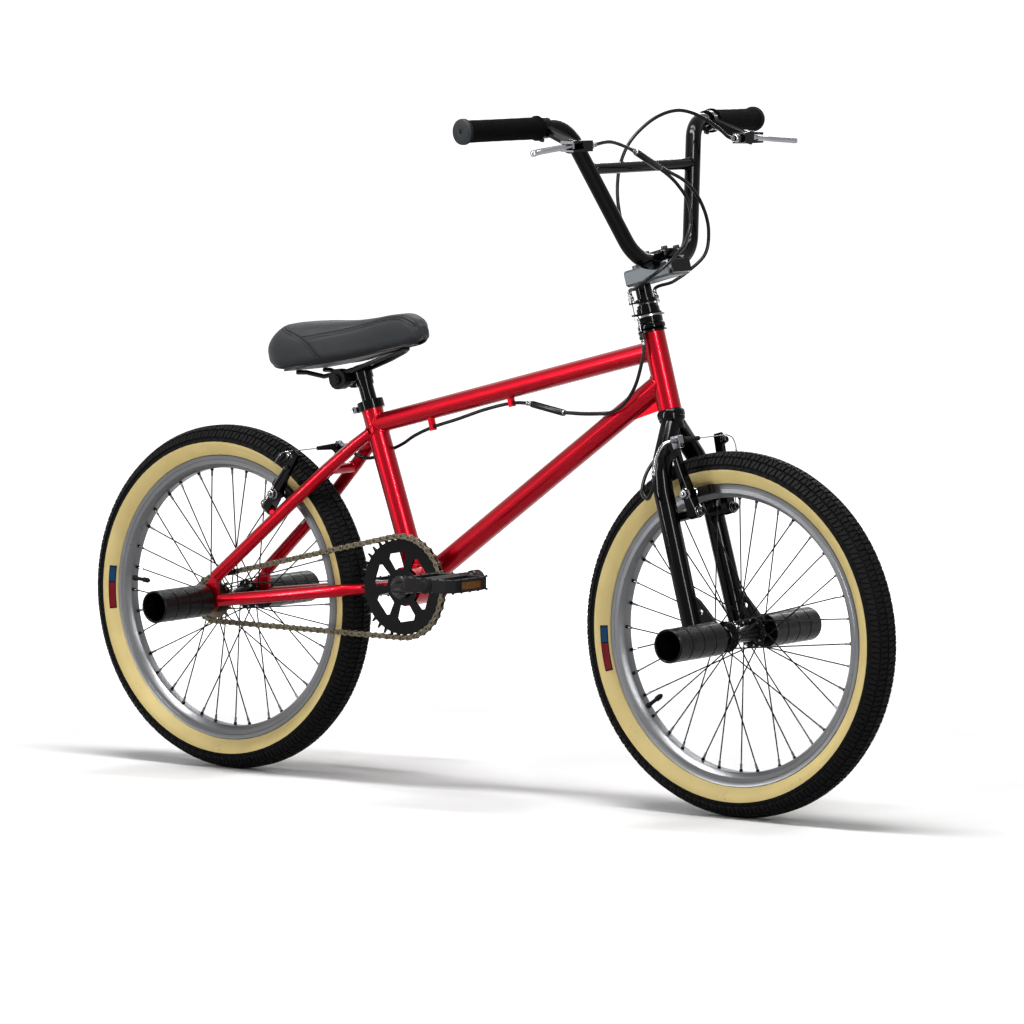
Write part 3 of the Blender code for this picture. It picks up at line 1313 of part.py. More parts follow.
def brake_wire(pivot_of, up, out, noodle_sign):
    """Across the brake: the noodle's tip, the boot and the bare wire to the other arm."""
    height, ahead = CABLE_ON_ARM
    aside = BRAKE_PIVOT_SIDE + BRAKE_ARM_LEAN
    middle = pivot_of(1) - BRAKE_PIVOT_SIDE * SIDE + height * up + ahead * out
    tip = middle + noodle_sign * (aside + 0.0042) * SIDE
    inside = middle + noodle_sign * (aside - 0.0125) * SIDE
    boot_end = middle + noodle_sign * 0.006 * SIDE
    wire_end = middle - noodle_sign * (aside + 0.007) * SIDE
    return tip, inside, boot_end, wire_end


front_tip, front_inside, front_boot, front_wire_end = brake_wire(front_pivot, HEAD_UP, HEAD_FORWARD, -1)
rear_tip, rear_inside, rear_boot, rear_wire_end = brake_wire(rear_pivot, REAR_BRAKE_UP, REAR_BRAKE_OUT, 1)

# Front cable: left lever, over the bars, down through the hollow stem bolt and out below the crown
front_cable_out = lever_spot(LEVER_HOUSING, 1) - 0.0343 * SIDE
front_run = [
    front_cable_out, front_cable_out + Vector((-0.0005, -0.0097, 0.0015)),
    front_cable_out + Vector((-0.008, -0.0237, 0.014)), (0.312, 0.112, 0.708), (0.302, 0.081, 0.716),
    (0.294, 0.0445, 0.710), (0.286, 0.013, 0.693), (0.280, -0.012, 0.670), (0.276, -0.025, 0.643),
    (0.274, -0.029, 0.609), (0.276, -0.026, 0.574), (0.2805, -0.015, 0.540),
    head_point(BAR_CENTRE_ALONG + 0.018), head_point(BAR_CENTRE_ALONG), head_point(QUILL_END),
    head_point(FORK_CROWN_TOP - 0.008),
    head_point(0.283, -0.005, -0.002), head_point(0.271, -0.018, -0.012), head_point(0.257, -0.027, -0.031),
    head_point(0.236, -0.029, -0.055), head_point(0.215, -0.022, -0.075), head_point(0.207, -0.007, -0.085),
    head_point(0.218, 0.007, -0.089), head_point(0.243, 0.015, -0.087),
]
front_noodle = [
    head_point(0.243, 0.015, -0.087), head_point(0.262, 0.024, -0.084), head_point(0.275, 0.035, -0.076),
    front_tip - 0.008 * SIDE, front_tip,
]
front_brake_cable = cable_route(
    "front_brake_cable",
    [
        (front_run, CABLE_RADIUS), (front_noodle, CABLE_RADIUS + 0.0002), ([front_tip, front_inside], WIRE_RADIUS),
        ([front_inside, front_boot], BOOT_RADIUS), ([front_boot, front_wire_end], WIRE_RADIUS),
    ],
)

# Upper rear cable: right lever to a splitter, then two legs down to the rotor's upper plate
upper_splitter_start, upper_splitter_end = above_axles(0.332, -0.066, 0.664), above_axles(0.334, -0.011, 0.639)
upper_run = [
    lever_spot(LEVER_HOUSING, -1) + 0.0343 * SIDE,
    (0.3335, -0.125, 0.6785), (0.3335, -0.090, 0.671), upper_splitter_start,
]
tab_ahead = -0.003
upper_ends = [head_point(upper_plate_top + GAP, tab_ahead, side) for side in (-UPPER_TAB_SIDE, UPPER_TAB_SIDE)]
upper_starts = [head_point(upper_plate_top + 0.012, tab_ahead, side) for side in (-UPPER_TAB_SIDE, UPPER_TAB_SIDE)]
wire_ends = [head_point(flange_base + 0.0005, tab_ahead, side) for side in (-UPPER_TAB_SIDE, UPPER_TAB_SIDE)]
inner_leg = [
    upper_splitter_end - Vector((0.001, 0.010, -0.004)), upper_splitter_end + Vector((0.001, 0.012, -0.007)),
    (0.337, 0.026, 0.615), (0.342, 0.045, 0.589), (0.346, 0.044, 0.564), (0.352, 0.028, 0.544),
    (0.360, 0.009, 0.532), (0.3615, -0.010, 0.522), (0.3605, -0.027, 0.511), (0.352, -0.043, 0.498),
    (0.333, -0.050, 0.484), (0.312, -0.041, 0.474), upper_starts[0], upper_ends[0],
]
outer_leg = [
    upper_splitter_end - Vector((-0.001, 0.010, -0.005)), upper_splitter_end + Vector((0.002, 0.014, -0.004)),
    (0.340, 0.040, 0.619), (0.3435, 0.072, 0.589), (0.3445, 0.088, 0.550), (0.3410, 0.086, 0.519),
    (0.331, 0.062, 0.496), (0.315, 0.044, 0.480), upper_starts[1], upper_ends[1],
]
gyro_upper_cable = cable_route(
    "gyro_upper_cable", [(upper_run, CABLE_RADIUS), ([upper_splitter_start, upper_splitter_end], SPLITTER_RADIUS)]
)
for name, leg, wire_end in (("inner_leg", inner_leg, wire_ends[0]), ("outer_leg", outer_leg, wire_ends[1])):
    runs = [(leg[:-1], CABLE_RADIUS), (leg[-2:], CABLE_RADIUS), ([leg[-1], wire_end], WIRE_RADIUS)]
    unite(gyro_upper_cable, cable_route(name, runs))

# Lower rear cable: two legs from the rotor's lower plate, one run under the top tube, then the rear brake
lower_splitter_start, lower_splitter_end = above_axles(0.162, -0.004, 0.294), above_axles(0.102, -0.004, 0.305)
rear_run = [
    lower_splitter_end, (0.080, -0.002, 0.3055), FRONT_GUIDE, (0.020, -0.001, 0.294), (-0.030, -0.0035, 0.278),
    REAR_GUIDE, (-0.115, 0.004, 0.250), (-0.145, 0.0165, 0.237), (-0.168, 0.0215, 0.228), (-0.188, 0.0165, 0.2175),
    (-0.206, 0.0085, 0.214), (-0.222, 0.0075, 0.2175), (-0.240, 0.013, 0.2245), (-0.256, 0.030, 0.228),
]
rear_noodle = [
    rear_run[-1], (-0.271, 0.052, 0.228), (-0.281, 0.066, 0.2265), rear_tip + 0.010 * SIDE, rear_tip,
]
rear_brake_cable = cable_route(
    "rear_brake_cable",
    [
        ([lower_splitter_start, lower_splitter_end], SPLITTER_RADIUS), (rear_run, CABLE_RADIUS),
        (rear_noodle, CABLE_RADIUS + 0.0002), ([rear_tip, rear_inside], WIRE_RADIUS),
        ([rear_inside, rear_boot], BOOT_RADIUS), ([rear_boot, rear_wire_end], WIRE_RADIUS),
    ],
)
for side, sign in (("right", -1), ("left", 1)):
    plate_under = head_point(lower_plate_bottom - GAP, tab_ahead, sign * LOWER_TAB_SIDE)
    wire_top = head_point(bearing_base + ROTOR_PLATE - 0.0005, tab_ahead, sign * LOWER_TAB_SIDE)
    leg = [
        plate_under, head_point(lower_plate_bottom - 0.014, tab_ahead - 0.001, sign * (LOWER_TAB_SIDE + 0.0005)),
        (0.310, sign * 0.0255, 0.367), (0.294, sign * 0.0245, 0.330), (0.272, sign * 0.0240, 0.307),
        (0.249, sign * 0.0200, 0.2985), (0.226, sign * 0.010 - 0.001, 0.296), (0.195, sign * 0.0045 - 0.003, 0.2945),
        lower_splitter_start + Vector((-0.006, sign * 0.0012, 0.001)),
    ]
    lower_leg = cable_route(f"lower_leg_{side}", [([wire_top, plate_under], WIRE_RADIUS), (leg, CABLE_RADIUS)])
    unite(rear_brake_cable, lower_leg)

# Two drilled bosses below the top tube carry the cable
tube_along = (top_front - top_rear).normalized()
tube_below = Vector((tube_along.z, 0, -tube_along.x))
front_guide, rear_guide = above_axles(*FRONT_GUIDE), above_axles(*REAR_GUIDE)
for number, spot in enumerate((front_guide, rear_guide)):
    run = Vector((spot.x, 0, spot.z)) - top_rear
    across = spot.y * SIDE
    surface = top_rear + tube_along * run.dot(tube_along) + across + tube_below * (TOP_TUBE_RADIUS - 0.003)
    foot = spot + tube_below * 0.0050
    unite(top_tube, cylinder(f"guide_{number}", surface, foot, GUIDE_RADIUS, segments=6))
for number, (spot, before, after) in enumerate(
    ((front_guide, rear_run[1], rear_run[3]), (rear_guide, rear_run[4], rear_run[6]))
):
    along = (Vector(after) - Vector(before)).normalized() * 0.012
    cut(top_tube, cylinder(f"guide_bore_{number}", spot - along, spot + along, CABLE_RADIUS + 0.0012, segments=6))


# Chain, sprockets and cranks


def chain_path():
    """The closed run of the chain round both sprockets, read by distance along it."""
    span = BB_CENTRE - REAR_AXLE
    along = span.normalized()
    above = Vector((-along.z, 0, along.x))
    slant = math.asin((CHAINWHEEL_PITCH_RADIUS - FREEWHEEL_PITCH_RADIUS) / span.length)
    straight = span.length * math.cos(slant)
    upper = above * math.cos(slant) - along * math.sin(slant)
    lower = -above * math.cos(slant) - along * math.sin(slant)
    front_turn, rear_turn = math.pi + 2 * slant, math.pi - 2 * slant
    front_arc, rear_arc = front_turn * CHAINWHEEL_PITCH_RADIUS, rear_turn * FREEWHEEL_PITCH_RADIUS
    total = 2 * straight + front_arc + rear_arc

    def turned_by(vector, angle):
        return Matrix.Rotation(angle, 3, "Y") @ vector

    def at(distance):
        distance %= total
        if distance < straight:
            foot = REAR_AXLE + upper * FREEWHEEL_PITCH_RADIUS
            top = BB_CENTRE + upper * CHAINWHEEL_PITCH_RADIUS
            return foot.lerp(top, distance / straight), upper
        distance -= straight
        if distance < front_arc:
            normal = turned_by(upper, distance / CHAINWHEEL_PITCH_RADIUS)
            return BB_CENTRE + normal * CHAINWHEEL_PITCH_RADIUS, normal
        distance -= front_arc
        if distance < straight:
            foot = BB_CENTRE + lower * CHAINWHEEL_PITCH_RADIUS
            back = REAR_AXLE + lower * FREEWHEEL_PITCH_RADIUS
            return foot.lerp(back, distance / straight), lower
        distance -= straight
        normal = turned_by(lower, distance / FREEWHEEL_PITCH_RADIUS)
        return REAR_AXLE + normal * FREEWHEEL_PITCH_RADIUS, normal

    return at, total, straight + front_arc / 2, total - rear_arc / 2


chain_at, chain_total, chain_front, chain_rear = chain_path()
link_length = chain_total / CHAIN_LINKS


def chain_mesh(name):
    """Two rails joined by a solid rung at every pin, wide and narrow by turns like the side plates."""
    bm = bmesh.new()

    def corners(distance, aside):
        point, normal = chain_at(distance)
        return [
            [bm.verts.new(point + normal * level + (CHAINLINE + sign * aside) * SIDE) for sign in (1, -1)]
            for level in (-CHAIN_PLATE_HEIGHT, CHAIN_PLATE_HEIGHT)
        ]

    links = []
    for link in range(CHAIN_LINKS):
        pin = link * link_length
        outer = CHAIN_INNER_WIDTH + CHAIN_PLATE * (2 if link % 2 else 1)
        links.append((
            corners(pin - CHAIN_ROLLER_HALF, CHAIN_INNER_WIDTH), corners(pin + CHAIN_ROLLER_HALF, CHAIN_INNER_WIDTH),
            corners(pin + link_length / 2, outer),
        ))
    for index, (start, end, middle) in enumerate(links):
        before, following = links[index - 1][2], links[(index + 1) % CHAIN_LINKS][0]
        for level in (0, 1):
            bm.faces.new((start[level][0], start[level][1], end[level][1], end[level][0]))
            for side in (0, 1):
                bm.faces.new((before[level][side], start[level][side], end[level][side], middle[level][side]))
                bm.faces.new((end[level][side], following[level][side], middle[level][side]))
        for side in (0, 1):
            bm.faces.new((before[0][side], before[1][side], middle[1][side], middle[0][side]))
            bm.faces.new((end[0][side], end[1][side], following[1][side], following[0][side]))
        for edge in (start, end):
            bm.faces.new((edge[0][0], edge[0][1], edge[1][1], edge[1][0]))
    bmesh.ops.recalc_face_normals(bm, faces=bm.faces)
    mesh = bpy.data.meshes.new(name)
    bm.to_mesh(mesh)
    bm.free()
    return add_object(name, mesh, CHAIN_STEEL)


chain = chain_mesh("chain")


def sprocket_outline(teeth, pitch_radius, centre, middle_distance):
    """Four-cornered teeth, standing midway between the chain's pins where it wraps the sprocket."""
    nearest = round(middle_distance / link_length - 0.5) + 0.5
    point, _ = chain_at(nearest * link_length)
    first = math.atan2(point.z - centre.z, point.x - centre.x)
    root, tip = pitch_radius - CHAIN_PLATE_HEIGHT - 0.0006, pitch_radius + 0.0028
    outline = []
    for tooth in range(teeth):
        angle = first + 2 * math.pi * tooth / teeth
        for radius, half in ((root, -0.0023), (tip, -0.0008), (tip, 0.0008), (root, 0.0023)):
            spot = angle + half / radius
            outline.append((radius * math.cos(spot), radius * math.sin(spot)))
    return outline


def window_outline(angle):
    """One rounded opening of the chainwheel, narrower towards the middle."""
    inner, outer, half = CHAINWHEEL_WINDOW_INNER, CHAINWHEEL_WINDOW_OUTER, CHAINWHEEL_WINDOW_HALF
    corners = ((inner, -half * 0.85), (inner, half * 0.85), (outer - 0.005, half), (outer, half * 0.72))
    corners += ((outer, -half * 0.72), (outer - 0.005, -half))
    return [(r * math.cos(angle + a), r * math.sin(angle + a)) for r, a in corners]


outline = sprocket_outline(CHAINWHEEL_TEETH, CHAINWHEEL_PITCH_RADIUS, BB_CENTRE, chain_front)
windows = [
    window_outline(CHAINWHEEL_FIRST_WINDOW + 2 * math.pi * index / CHAINWHEEL_WINDOWS)
    for index in range(CHAINWHEEL_WINDOWS)
]
bore = circle(SPINDLE_RADIUS + 2 * GAP, 12)
chainwheel = side_plate(
    "chainwheel", outline, [bore, *windows], BB_CENTRE, CHAINLINE, TOOTH_THICKNESS, GLOSS_BLACK
)

outline = sprocket_outline(FREEWHEEL_TEETH, FREEWHEEL_PITCH_RADIUS, REAR_AXLE, chain_rear)
freewheel = side_plate(
    "freewheel", outline, [circle(FREEWHEEL_BORE + 0.002, 12)], REAR_AXLE, CHAINLINE, TOOTH_THICKNESS, CHAIN_STEEL
)
body_profile = sleeve_profile(0.0200, FREEWHEEL_BORE, 0.0070, -0.0070)
unite(freewheel, turned("freewheel_body", body_profile, REAR_AXLE + CHAINLINE * SIDE, SIDE, segments=12, closed=True))

crank_corners = [
    BB_CENTRE + CRANK_FORWARD * CRANK_LENGTH - CRANK_END_SIDE * SIDE,
    BB_CENTRE + CRANK_FORWARD * 0.030 - 0.0690 * SIDE,
    BB_CENTRE - 0.0540 * SIDE,
    BB_CENTRE + 0.0540 * SIDE,
    BB_CENTRE - CRANK_FORWARD * 0.030 + 0.0690 * SIDE,
    BB_CENTRE - CRANK_FORWARD * CRANK_LENGTH + CRANK_END_SIDE * SIDE,
]
crank = wire_mesh("crank", bent_path(crank_corners, (0.025, 0.010, 0.010, 0.025), 3), CRANK_RADIUS, GLOSS_BLACK, 10)
cone_profile = [
    (0, shell_half + 0.0028),
    (BB_CUP_BORE - 0.0006, shell_half + 0.0028),
    (BB_CUP_BORE - 0.0006, shell_half - 0.008),
    (SPINDLE_RADIUS, shell_half - 0.014),
]
cones = cone_profile + [(radius, -height) for radius, height in reversed(cone_profile)]
nut_profile = sleeve_profile(0.0165, 0.004, CHAINLINE - TOOTH_THICKNESS / 2 - GAP, CHAINLINE - TOOTH_THICKNESS / 2 - 0.0055)
unite(
    crank,
    turned("crank_cones", cones, BB_CENTRE, SIDE, segments=14),
    turned("chainwheel_nut", nut_profile, BB_CENTRE, SIDE, segments=8, closed=True),
)
pedals = {}
for side, sign in (("right", -1), ("left", 1)):
    eye = BB_CENTRE - sign * CRANK_FORWARD * CRANK_LENGTH + sign * CRANK_END_SIDE * SIDE
    half_eye = sign * CRANK_EYE_THICKNESS / 2 * SIDE
    spindle_end = Vector((eye.x, sign * (PEDAL_INNER_SIDE + PEDAL_WIDTH - 0.012), eye.z))
    unite(
        crank,
        rod(f"crank_eye_{side}", eye - half_eye, eye + half_eye, CRANK_EYE_RADIUS, segments=12),
        rod(f"pedal_spindle_{side}", eye, spindle_end, PEDAL_SPINDLE_RADIUS, segments=8),
    )

    # Pedal body: a flat cage with two windows around a bored barrel
    half_length, inner, outer = PEDAL_LENGTH / 2, PEDAL_INNER_SIDE, PEDAL_INNER_SIDE + PEDAL_WIDTH
    corner = 0.010
    cage = [
        (-half_length, inner + corner), (-half_length + corner, inner), (half_length - corner, inner),
        (half_length, inner + corner), (half_length, outer - corner), (half_length - corner, outer),
        (-half_length + corner, outer), (-half_length, outer - corner),
    ]
    window_side = PEDAL_WIDTH * 0.16
    holes = []
    for centre in (-half_length * 0.565, half_length * 0.565):
        reach = half_length * 0.27
        holes.append([
            (centre - reach, inner + window_side), (centre + reach, inner + window_side),
            (centre + reach, outer - window_side), (centre - reach, outer - window_side),
        ])
    middle = Vector((eye.x, 0, eye.z))
    spot = frame_matrix(middle, (1, 0, 0), sign * SIDE)
    pedal = plate_mesh(f"pedal_{side}", [cage, *holes], PEDAL_THICKNESS / 2, spot, BLACK_ALLOY)
    barrel = rod(
        f"pedal_barrel_{side}", middle + sign * (inner - 0.003) * SIDE, middle + sign * (outer + 0.0015) * SIDE,
        PEDAL_BARREL_RADIUS, segments=16,
    )
    bore = rod(
        f"pedal_bore_{side}", middle + sign * (inner - 0.01) * SIDE, spindle_end + sign * 0.0006 * SIDE,
        PEDAL_SPINDLE_RADIUS + 2 * GAP, segments=16,
    )
    unite(pedal, barrel)
    cut(pedal, bore)
    axis = body_empty(f"pedal_axis_{side}", middle + sign * (inner + outer) / 2 * SIDE, SIDE)
    pedals[side] = (pedal, axis)


# Seat post and saddle, drawn forward of and above the clamp bolt along the saddle's own slope

saddle_bolt = seat_point(POST_TOP - 0.011) - SADDLE_CLAMP_BACK * Vector((SEAT_UP.z, 0, -SEAT_UP.x))


def saddle_point(forward, up, side=0.0):
    return saddle_bolt + forward * SADDLE_FORWARD + up * SADDLE_UP + side * SIDE


post_profile = [
    (POST_SLEEVE_RADIUS - 0.002, POST_TOP),
    (POST_SLEEVE_RADIUS, POST_TOP - 0.002),
    (POST_SLEEVE_RADIUS, POST_TOP - POST_SLEEVE_LENGTH),
    (POST_RADIUS, POST_TOP - POST_SLEEVE_LENGTH),
    (POST_RADIUS, POST_TOP - POST_LENGTH),
    (POST_RADIUS - FRAME_WALL, POST_TOP - POST_LENGTH),
    (POST_RADIUS - FRAME_WALL, POST_TOP),
]
seatpost = turned("seatpost", post_profile, BB_CENTRE, SEAT_UP, GLOSS_BLACK, 16, closed=True)
band_profile = sleeve_profile(POST_SLEEVE_RADIUS + 0.0020, POST_RADIUS, POST_TOP - 0.001, POST_TOP - 0.021)
unite(seatpost, turned("clamp_band", band_profile, BB_CENTRE, SEAT_UP, segments=12, closed=True))
lug_front = seat_point(POST_TOP - 0.011) - (POST_RADIUS + 0.002) * Vector((SEAT_UP.z, 0, -SEAT_UP.x))
lug_middle, lug_run = (saddle_bolt + lug_front) / 2, lug_front - saddle_bolt
lug_turn = frame_matrix(lug_middle, lug_run, SIDE)
unite(
    seatpost,
    box("clamp_web", (lug_run.length, 2 * SADDLE_LUG_HALF, 0.016), lug_middle, lug_turn),
    rod("clamp_lug_barrel", saddle_bolt - SADDLE_LUG_HALF * SIDE, saddle_bolt + SADDLE_LUG_HALF * SIDE, 0.011, segments=12),
)
bolt_room = rod("clamp_bolt_room", saddle_bolt - 0.02 * SIDE, saddle_bolt + 0.02 * SIDE, 0.0046, segments=8)
cut(seatpost, bolt_room)

disc_reach = SADDLE_LUG_HALF + SADDLE_DISC_THICKNESS + GAP
saddle_clamp = rod(
    "saddle_clamp", saddle_bolt - (disc_reach + 0.006) * SIDE, saddle_bolt + (disc_reach + 0.006) * SIDE, 0.0040,
    BLACK_ALLOY, 8,
)
for side, sign in (("right", -1), ("left", 1)):
    disc_start = saddle_bolt + sign * (SADDLE_LUG_HALF + GAP) * SIDE
    disc_end = saddle_bolt + sign * disc_reach * SIDE
    nut_end = disc_end + sign * 0.005 * SIDE
    unite(
        saddle_clamp,
        rod(f"clamp_disc_{side}", disc_start, disc_end, SADDLE_CLAMP_RADIUS, segments=14),
        cylinder(f"clamp_nut_{side}", disc_end - sign * 0.001 * SIDE, nut_end, 0.0075, segments=6),
    )
for side, sign in (("right", -1), ("left", 1)):
    rail_start, rail_end = (saddle_point(run, RAIL_RISE, sign * RAIL_SIDE) for run in (-0.03, 0.03))
    cut(saddle_clamp, rod(f"rail_bore_{side}", rail_start, rail_end, RAIL_RADIUS + 2 * GAP, segments=8))

# The rails are one wire, joined below the nose
rail_top = PAN_BOTTOM - GAP - RAIL_RADIUS
rail_half = [
    (-0.066, rail_top, 0.031), (-0.051, rail_top - 0.003, 0.028), (-0.027, RAIL_RISE, RAIL_SIDE),
    (0.030, RAIL_RISE, RAIL_SIDE), (0.072, RAIL_RISE + 0.006, 0.0165), (0.105, rail_top - 0.002, 0.010),
    (0.114, rail_top, 0.0045),
]
rail_path = [saddle_point(run, up, -side) for run, up, side in rail_half]
rail_path += [saddle_point(run, up, side) for run, up, side in reversed(rail_half)]
saddle_rails = wire("saddle_rails", rail_path, RAIL_RADIUS, CHAIN_STEEL, 8)


def saddle_half_width(forward):
    """Half the saddle's width by the distance ahead of the clamp, from its broad rear to its nose."""
    return float(np.interp(forward, [s[0] for s in SADDLE_SECTIONS], [s[3] for s in SADDLE_SECTIONS]))


def saddle_shell(name):
    """Closed cross-sections along the saddle, rounded over the top and fuller at the sides."""
    around = SADDLE_RING
    bm = bmesh.new()
    rings = []
    for forward, top, bottom, half_width in SADDLE_SECTIONS:
        middle = bottom + (top - bottom) * 0.40
        ring = []
        for index in range(around):
            angle = 2 * math.pi * (index + 0.5) / around
            side, rise = math.cos(angle), math.sin(angle)
            aside = half_width * math.copysign(abs(side) ** 0.62, side)
            tall = (top - middle) if rise > 0 else (middle - bottom)
            height = middle + tall * math.copysign(abs(rise) ** (0.78 if rise > 0 else 0.45), rise)
            ring.append(bm.verts.new(saddle_point(forward, height, aside)))
        rings.append(ring)
    for ring, following in zip(rings, rings[1:]):
        for index in range(around):
            after = (index + 1) % around
            bm.faces.new((ring[index], ring[after], following[after], following[index]))
    bm.faces.new(rings[0])
    bm.faces.new(rings[-1])
    bmesh.ops.recalc_face_normals(bm, faces=bm.faces)
    mesh = bpy.data.meshes.new(name)
    bm.to_mesh(mesh)
    bm.free()
    return smooth(add_object(name, mesh, SADDLE_VINYL), 50)


def pan_outline(grow):
    """The saddle pan's outline (ahead of the clamp, aside), inset from the cover."""
    runs = np.linspace(PAN_START - grow, PAN_END + grow, 9)
    halves = [saddle_half_width(run) - PAN_INSET + grow for run in runs]
    halves[0] *= 0.8
    halves[-1] *= 0.7
    right = [(float(run), -half) for run, half in zip(runs, halves)]
    return right + [(run, -half) for run, half in reversed(right)]


saddle_cover = saddle_shell("saddle_cover")
pan_middle = PAN_BOTTOM + PAN_THICKNESS / 2
pan_spot = frame_matrix(saddle_point(0, pan_middle), SADDLE_FORWARD, SIDE)
saddle_base = plate_mesh("saddle_base", [pan_outline(0)], PAN_THICKNESS / 2, pan_spot, BLACK_PLASTIC)
recess_bottom, recess_top = -0.010, PAN_BOTTOM + PAN_THICKNESS + GAP
recess_spot = frame_matrix(saddle_point(0, (recess_bottom + recess_top) / 2), SADDLE_FORWARD, SIDE)
recess = plate_mesh("pan_recess", [pan_outline(GAP)], (recess_top - recess_bottom) / 2, recess_spot)
cut(saddle_cover, recess)


# Moving bodies: each one's pieces hang from an empty on its joint's axis

steering_axis = body_empty("steering_axis", HEAD_FOOT, HEAD_UP)
steered += wheels["front_fixed"] + [gyro_upper_plate, gyro_upper_cable, front_brake_cable]
hang(steering_axis, *steered, wheels["front"])
for side in ("right", "left"):
    blade, pivot, axis = levers[side]
    lever_axis = body_empty(f"brake_lever_axis_{side}", pivot, axis)
    hang(lever_axis, blade)
    arm, arm_axis = brake_arms["front", side]
    hang(arm_axis, arm)
    hang(steering_axis, lever_axis, arm_axis)
upper_slide = body_empty("gyro_upper_axis", head_point(flange_base), HEAD_UP)
hang(upper_slide, gyro_bearing_upper)
hang(steering_axis, upper_slide)
lower_slide = body_empty("gyro_lower_axis", head_point(bearing_base), HEAD_UP)
hang(lower_slide, gyro_bearing_lower)
freewheel_axis = body_empty("freewheel_axis", REAR_AXLE + CHAINLINE * SIDE, SIDE)
hang(freewheel_axis, freewheel)
crank_axis = body_empty("crank_axis", BB_CENTRE, SIDE)
hang(crank_axis, crank, chainwheel)
for pedal, axis in pedals.values():
    hang(axis, pedal)
    hang(crank_axis, axis)
post_axis = body_empty("seat_height_axis", seat_point(SEAT_TUBE_LENGTH), SEAT_UP)
saddle_axis = body_empty("saddle_tilt_axis", saddle_bolt, SIDE)
hang(saddle_axis, saddle_cover, saddle_base, saddle_rails, saddle_clamp)
hang(post_axis, seatpost, saddle_axis)
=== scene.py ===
import json
import math
import bmesh
import bpy
import numpy as np
from mathutils import Matrix, Vector

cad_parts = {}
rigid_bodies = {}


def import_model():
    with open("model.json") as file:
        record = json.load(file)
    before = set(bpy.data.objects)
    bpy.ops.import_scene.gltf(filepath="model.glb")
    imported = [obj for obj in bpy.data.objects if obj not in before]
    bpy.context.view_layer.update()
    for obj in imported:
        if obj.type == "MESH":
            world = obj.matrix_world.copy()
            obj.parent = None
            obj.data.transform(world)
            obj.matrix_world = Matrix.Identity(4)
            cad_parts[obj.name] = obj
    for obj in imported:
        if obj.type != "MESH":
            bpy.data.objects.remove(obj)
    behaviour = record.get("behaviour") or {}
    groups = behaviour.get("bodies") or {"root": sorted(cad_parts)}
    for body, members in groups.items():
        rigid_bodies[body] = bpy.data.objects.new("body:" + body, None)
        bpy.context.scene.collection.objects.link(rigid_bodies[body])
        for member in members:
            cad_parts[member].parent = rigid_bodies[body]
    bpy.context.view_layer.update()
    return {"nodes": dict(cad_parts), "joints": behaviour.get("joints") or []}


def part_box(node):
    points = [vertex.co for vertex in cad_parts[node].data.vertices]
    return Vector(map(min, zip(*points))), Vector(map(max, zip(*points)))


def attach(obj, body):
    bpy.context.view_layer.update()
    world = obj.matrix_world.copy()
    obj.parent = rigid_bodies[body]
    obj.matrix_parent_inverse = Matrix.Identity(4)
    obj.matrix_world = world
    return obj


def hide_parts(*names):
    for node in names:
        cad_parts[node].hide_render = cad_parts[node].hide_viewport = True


for old in list(bpy.data.objects):
    bpy.data.objects.remove(old)

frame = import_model()
nodes = frame["nodes"]
joints = {joint["name"]: joint for joint in frame["joints"]}
print("frame loaded:", len(nodes), "nodes")


def unit(vector):
    vector = np.asarray(vector, float)
    return vector / np.linalg.norm(vector, axis=-1, keepdims=True)


# Places and directions shared by many pieces, read from the frame's own joints
frontAxle, rearAxle, crankCentre, steerFoot = (
    np.array(joints[name]["pos_m"]) for name in ("front_wheel_spin", "rear_wheel_spin", "crank_spin", "steer"))
wheelPlaces = (("front", frontAxle), ("rear", rearAxle))
steerUp, seatUp = unit(joints["steer"]["axis"]), unit(joints["seat_height"]["axis"])
seatUp = seatUp * np.sign(seatUp[2])
forward, sideways, upright = np.eye(3)
steerAhead = np.cross(sideways, steerUp)
sides = (("right", -1), ("left", 1))


def headPoint(along, ahead=0.0, side=0.0):
    # A place by its run up the steering axis, then ahead of that axis, then to the rider's left
    return steerFoot + along * steerUp + ahead * steerAhead + side * sideways


def mirror(point):
    return np.asarray(point) * [1, -1, 1]


# The camera stands where the photograph was taken from
view = {"azimuth": 37.564, "elevation": 5.282, "roll": -0.492, "distance": 8.357755, "clipEnd": 400.0,
        "target": (0.063541, 0.0, 0.403004), "focalPixels": 5918.575, "imagePixels": 1024, "sensor": 36.0}


def photoCamera(look):
    # Looks back along the direction given by azimuth and elevation, rolled about that direction
    turn, rise, roll = (math.radians(look[key]) for key in ("azimuth", "elevation", "roll"))
    back = Vector((math.sin(turn) * math.cos(rise), -math.cos(turn) * math.cos(rise), math.sin(rise)))
    right = Vector((math.cos(turn), math.sin(turn), 0.0))
    up = back.cross(right)
    rolledRight = math.cos(roll) * right + math.sin(roll) * up
    rolledUp = math.cos(roll) * up - math.sin(roll) * right
    camera = bpy.data.objects.new("photo_camera", bpy.data.cameras.new("photo_camera"))
    camera.data.sensor_width = look["sensor"]
    camera.data.lens = look["focalPixels"] * look["sensor"] / look["imagePixels"]
    camera.data.clip_end = look["clipEnd"]
    place = Matrix((rolledRight, rolledUp, back)).transposed().to_4x4()
    place.translation = Vector(look["target"]) + back * look["distance"]
    camera.matrix_world = place
    bpy.context.scene.collection.objects.link(camera)
    bpy.context.scene.camera = camera


photoCamera(view)
bpy.context.scene.view_settings.view_transform = "Standard"
print("camera set")


# Every shape below is a pair: an array of points, and a list of face arrays
def axesAbout(axis):
    # Two unit directions square to the axis, then the axis itself
    axis = unit(axis)
    across = unit(np.cross(axis, forward if abs(axis[0]) < 0.7 else upright))
    return across, np.cross(axis, across), axis


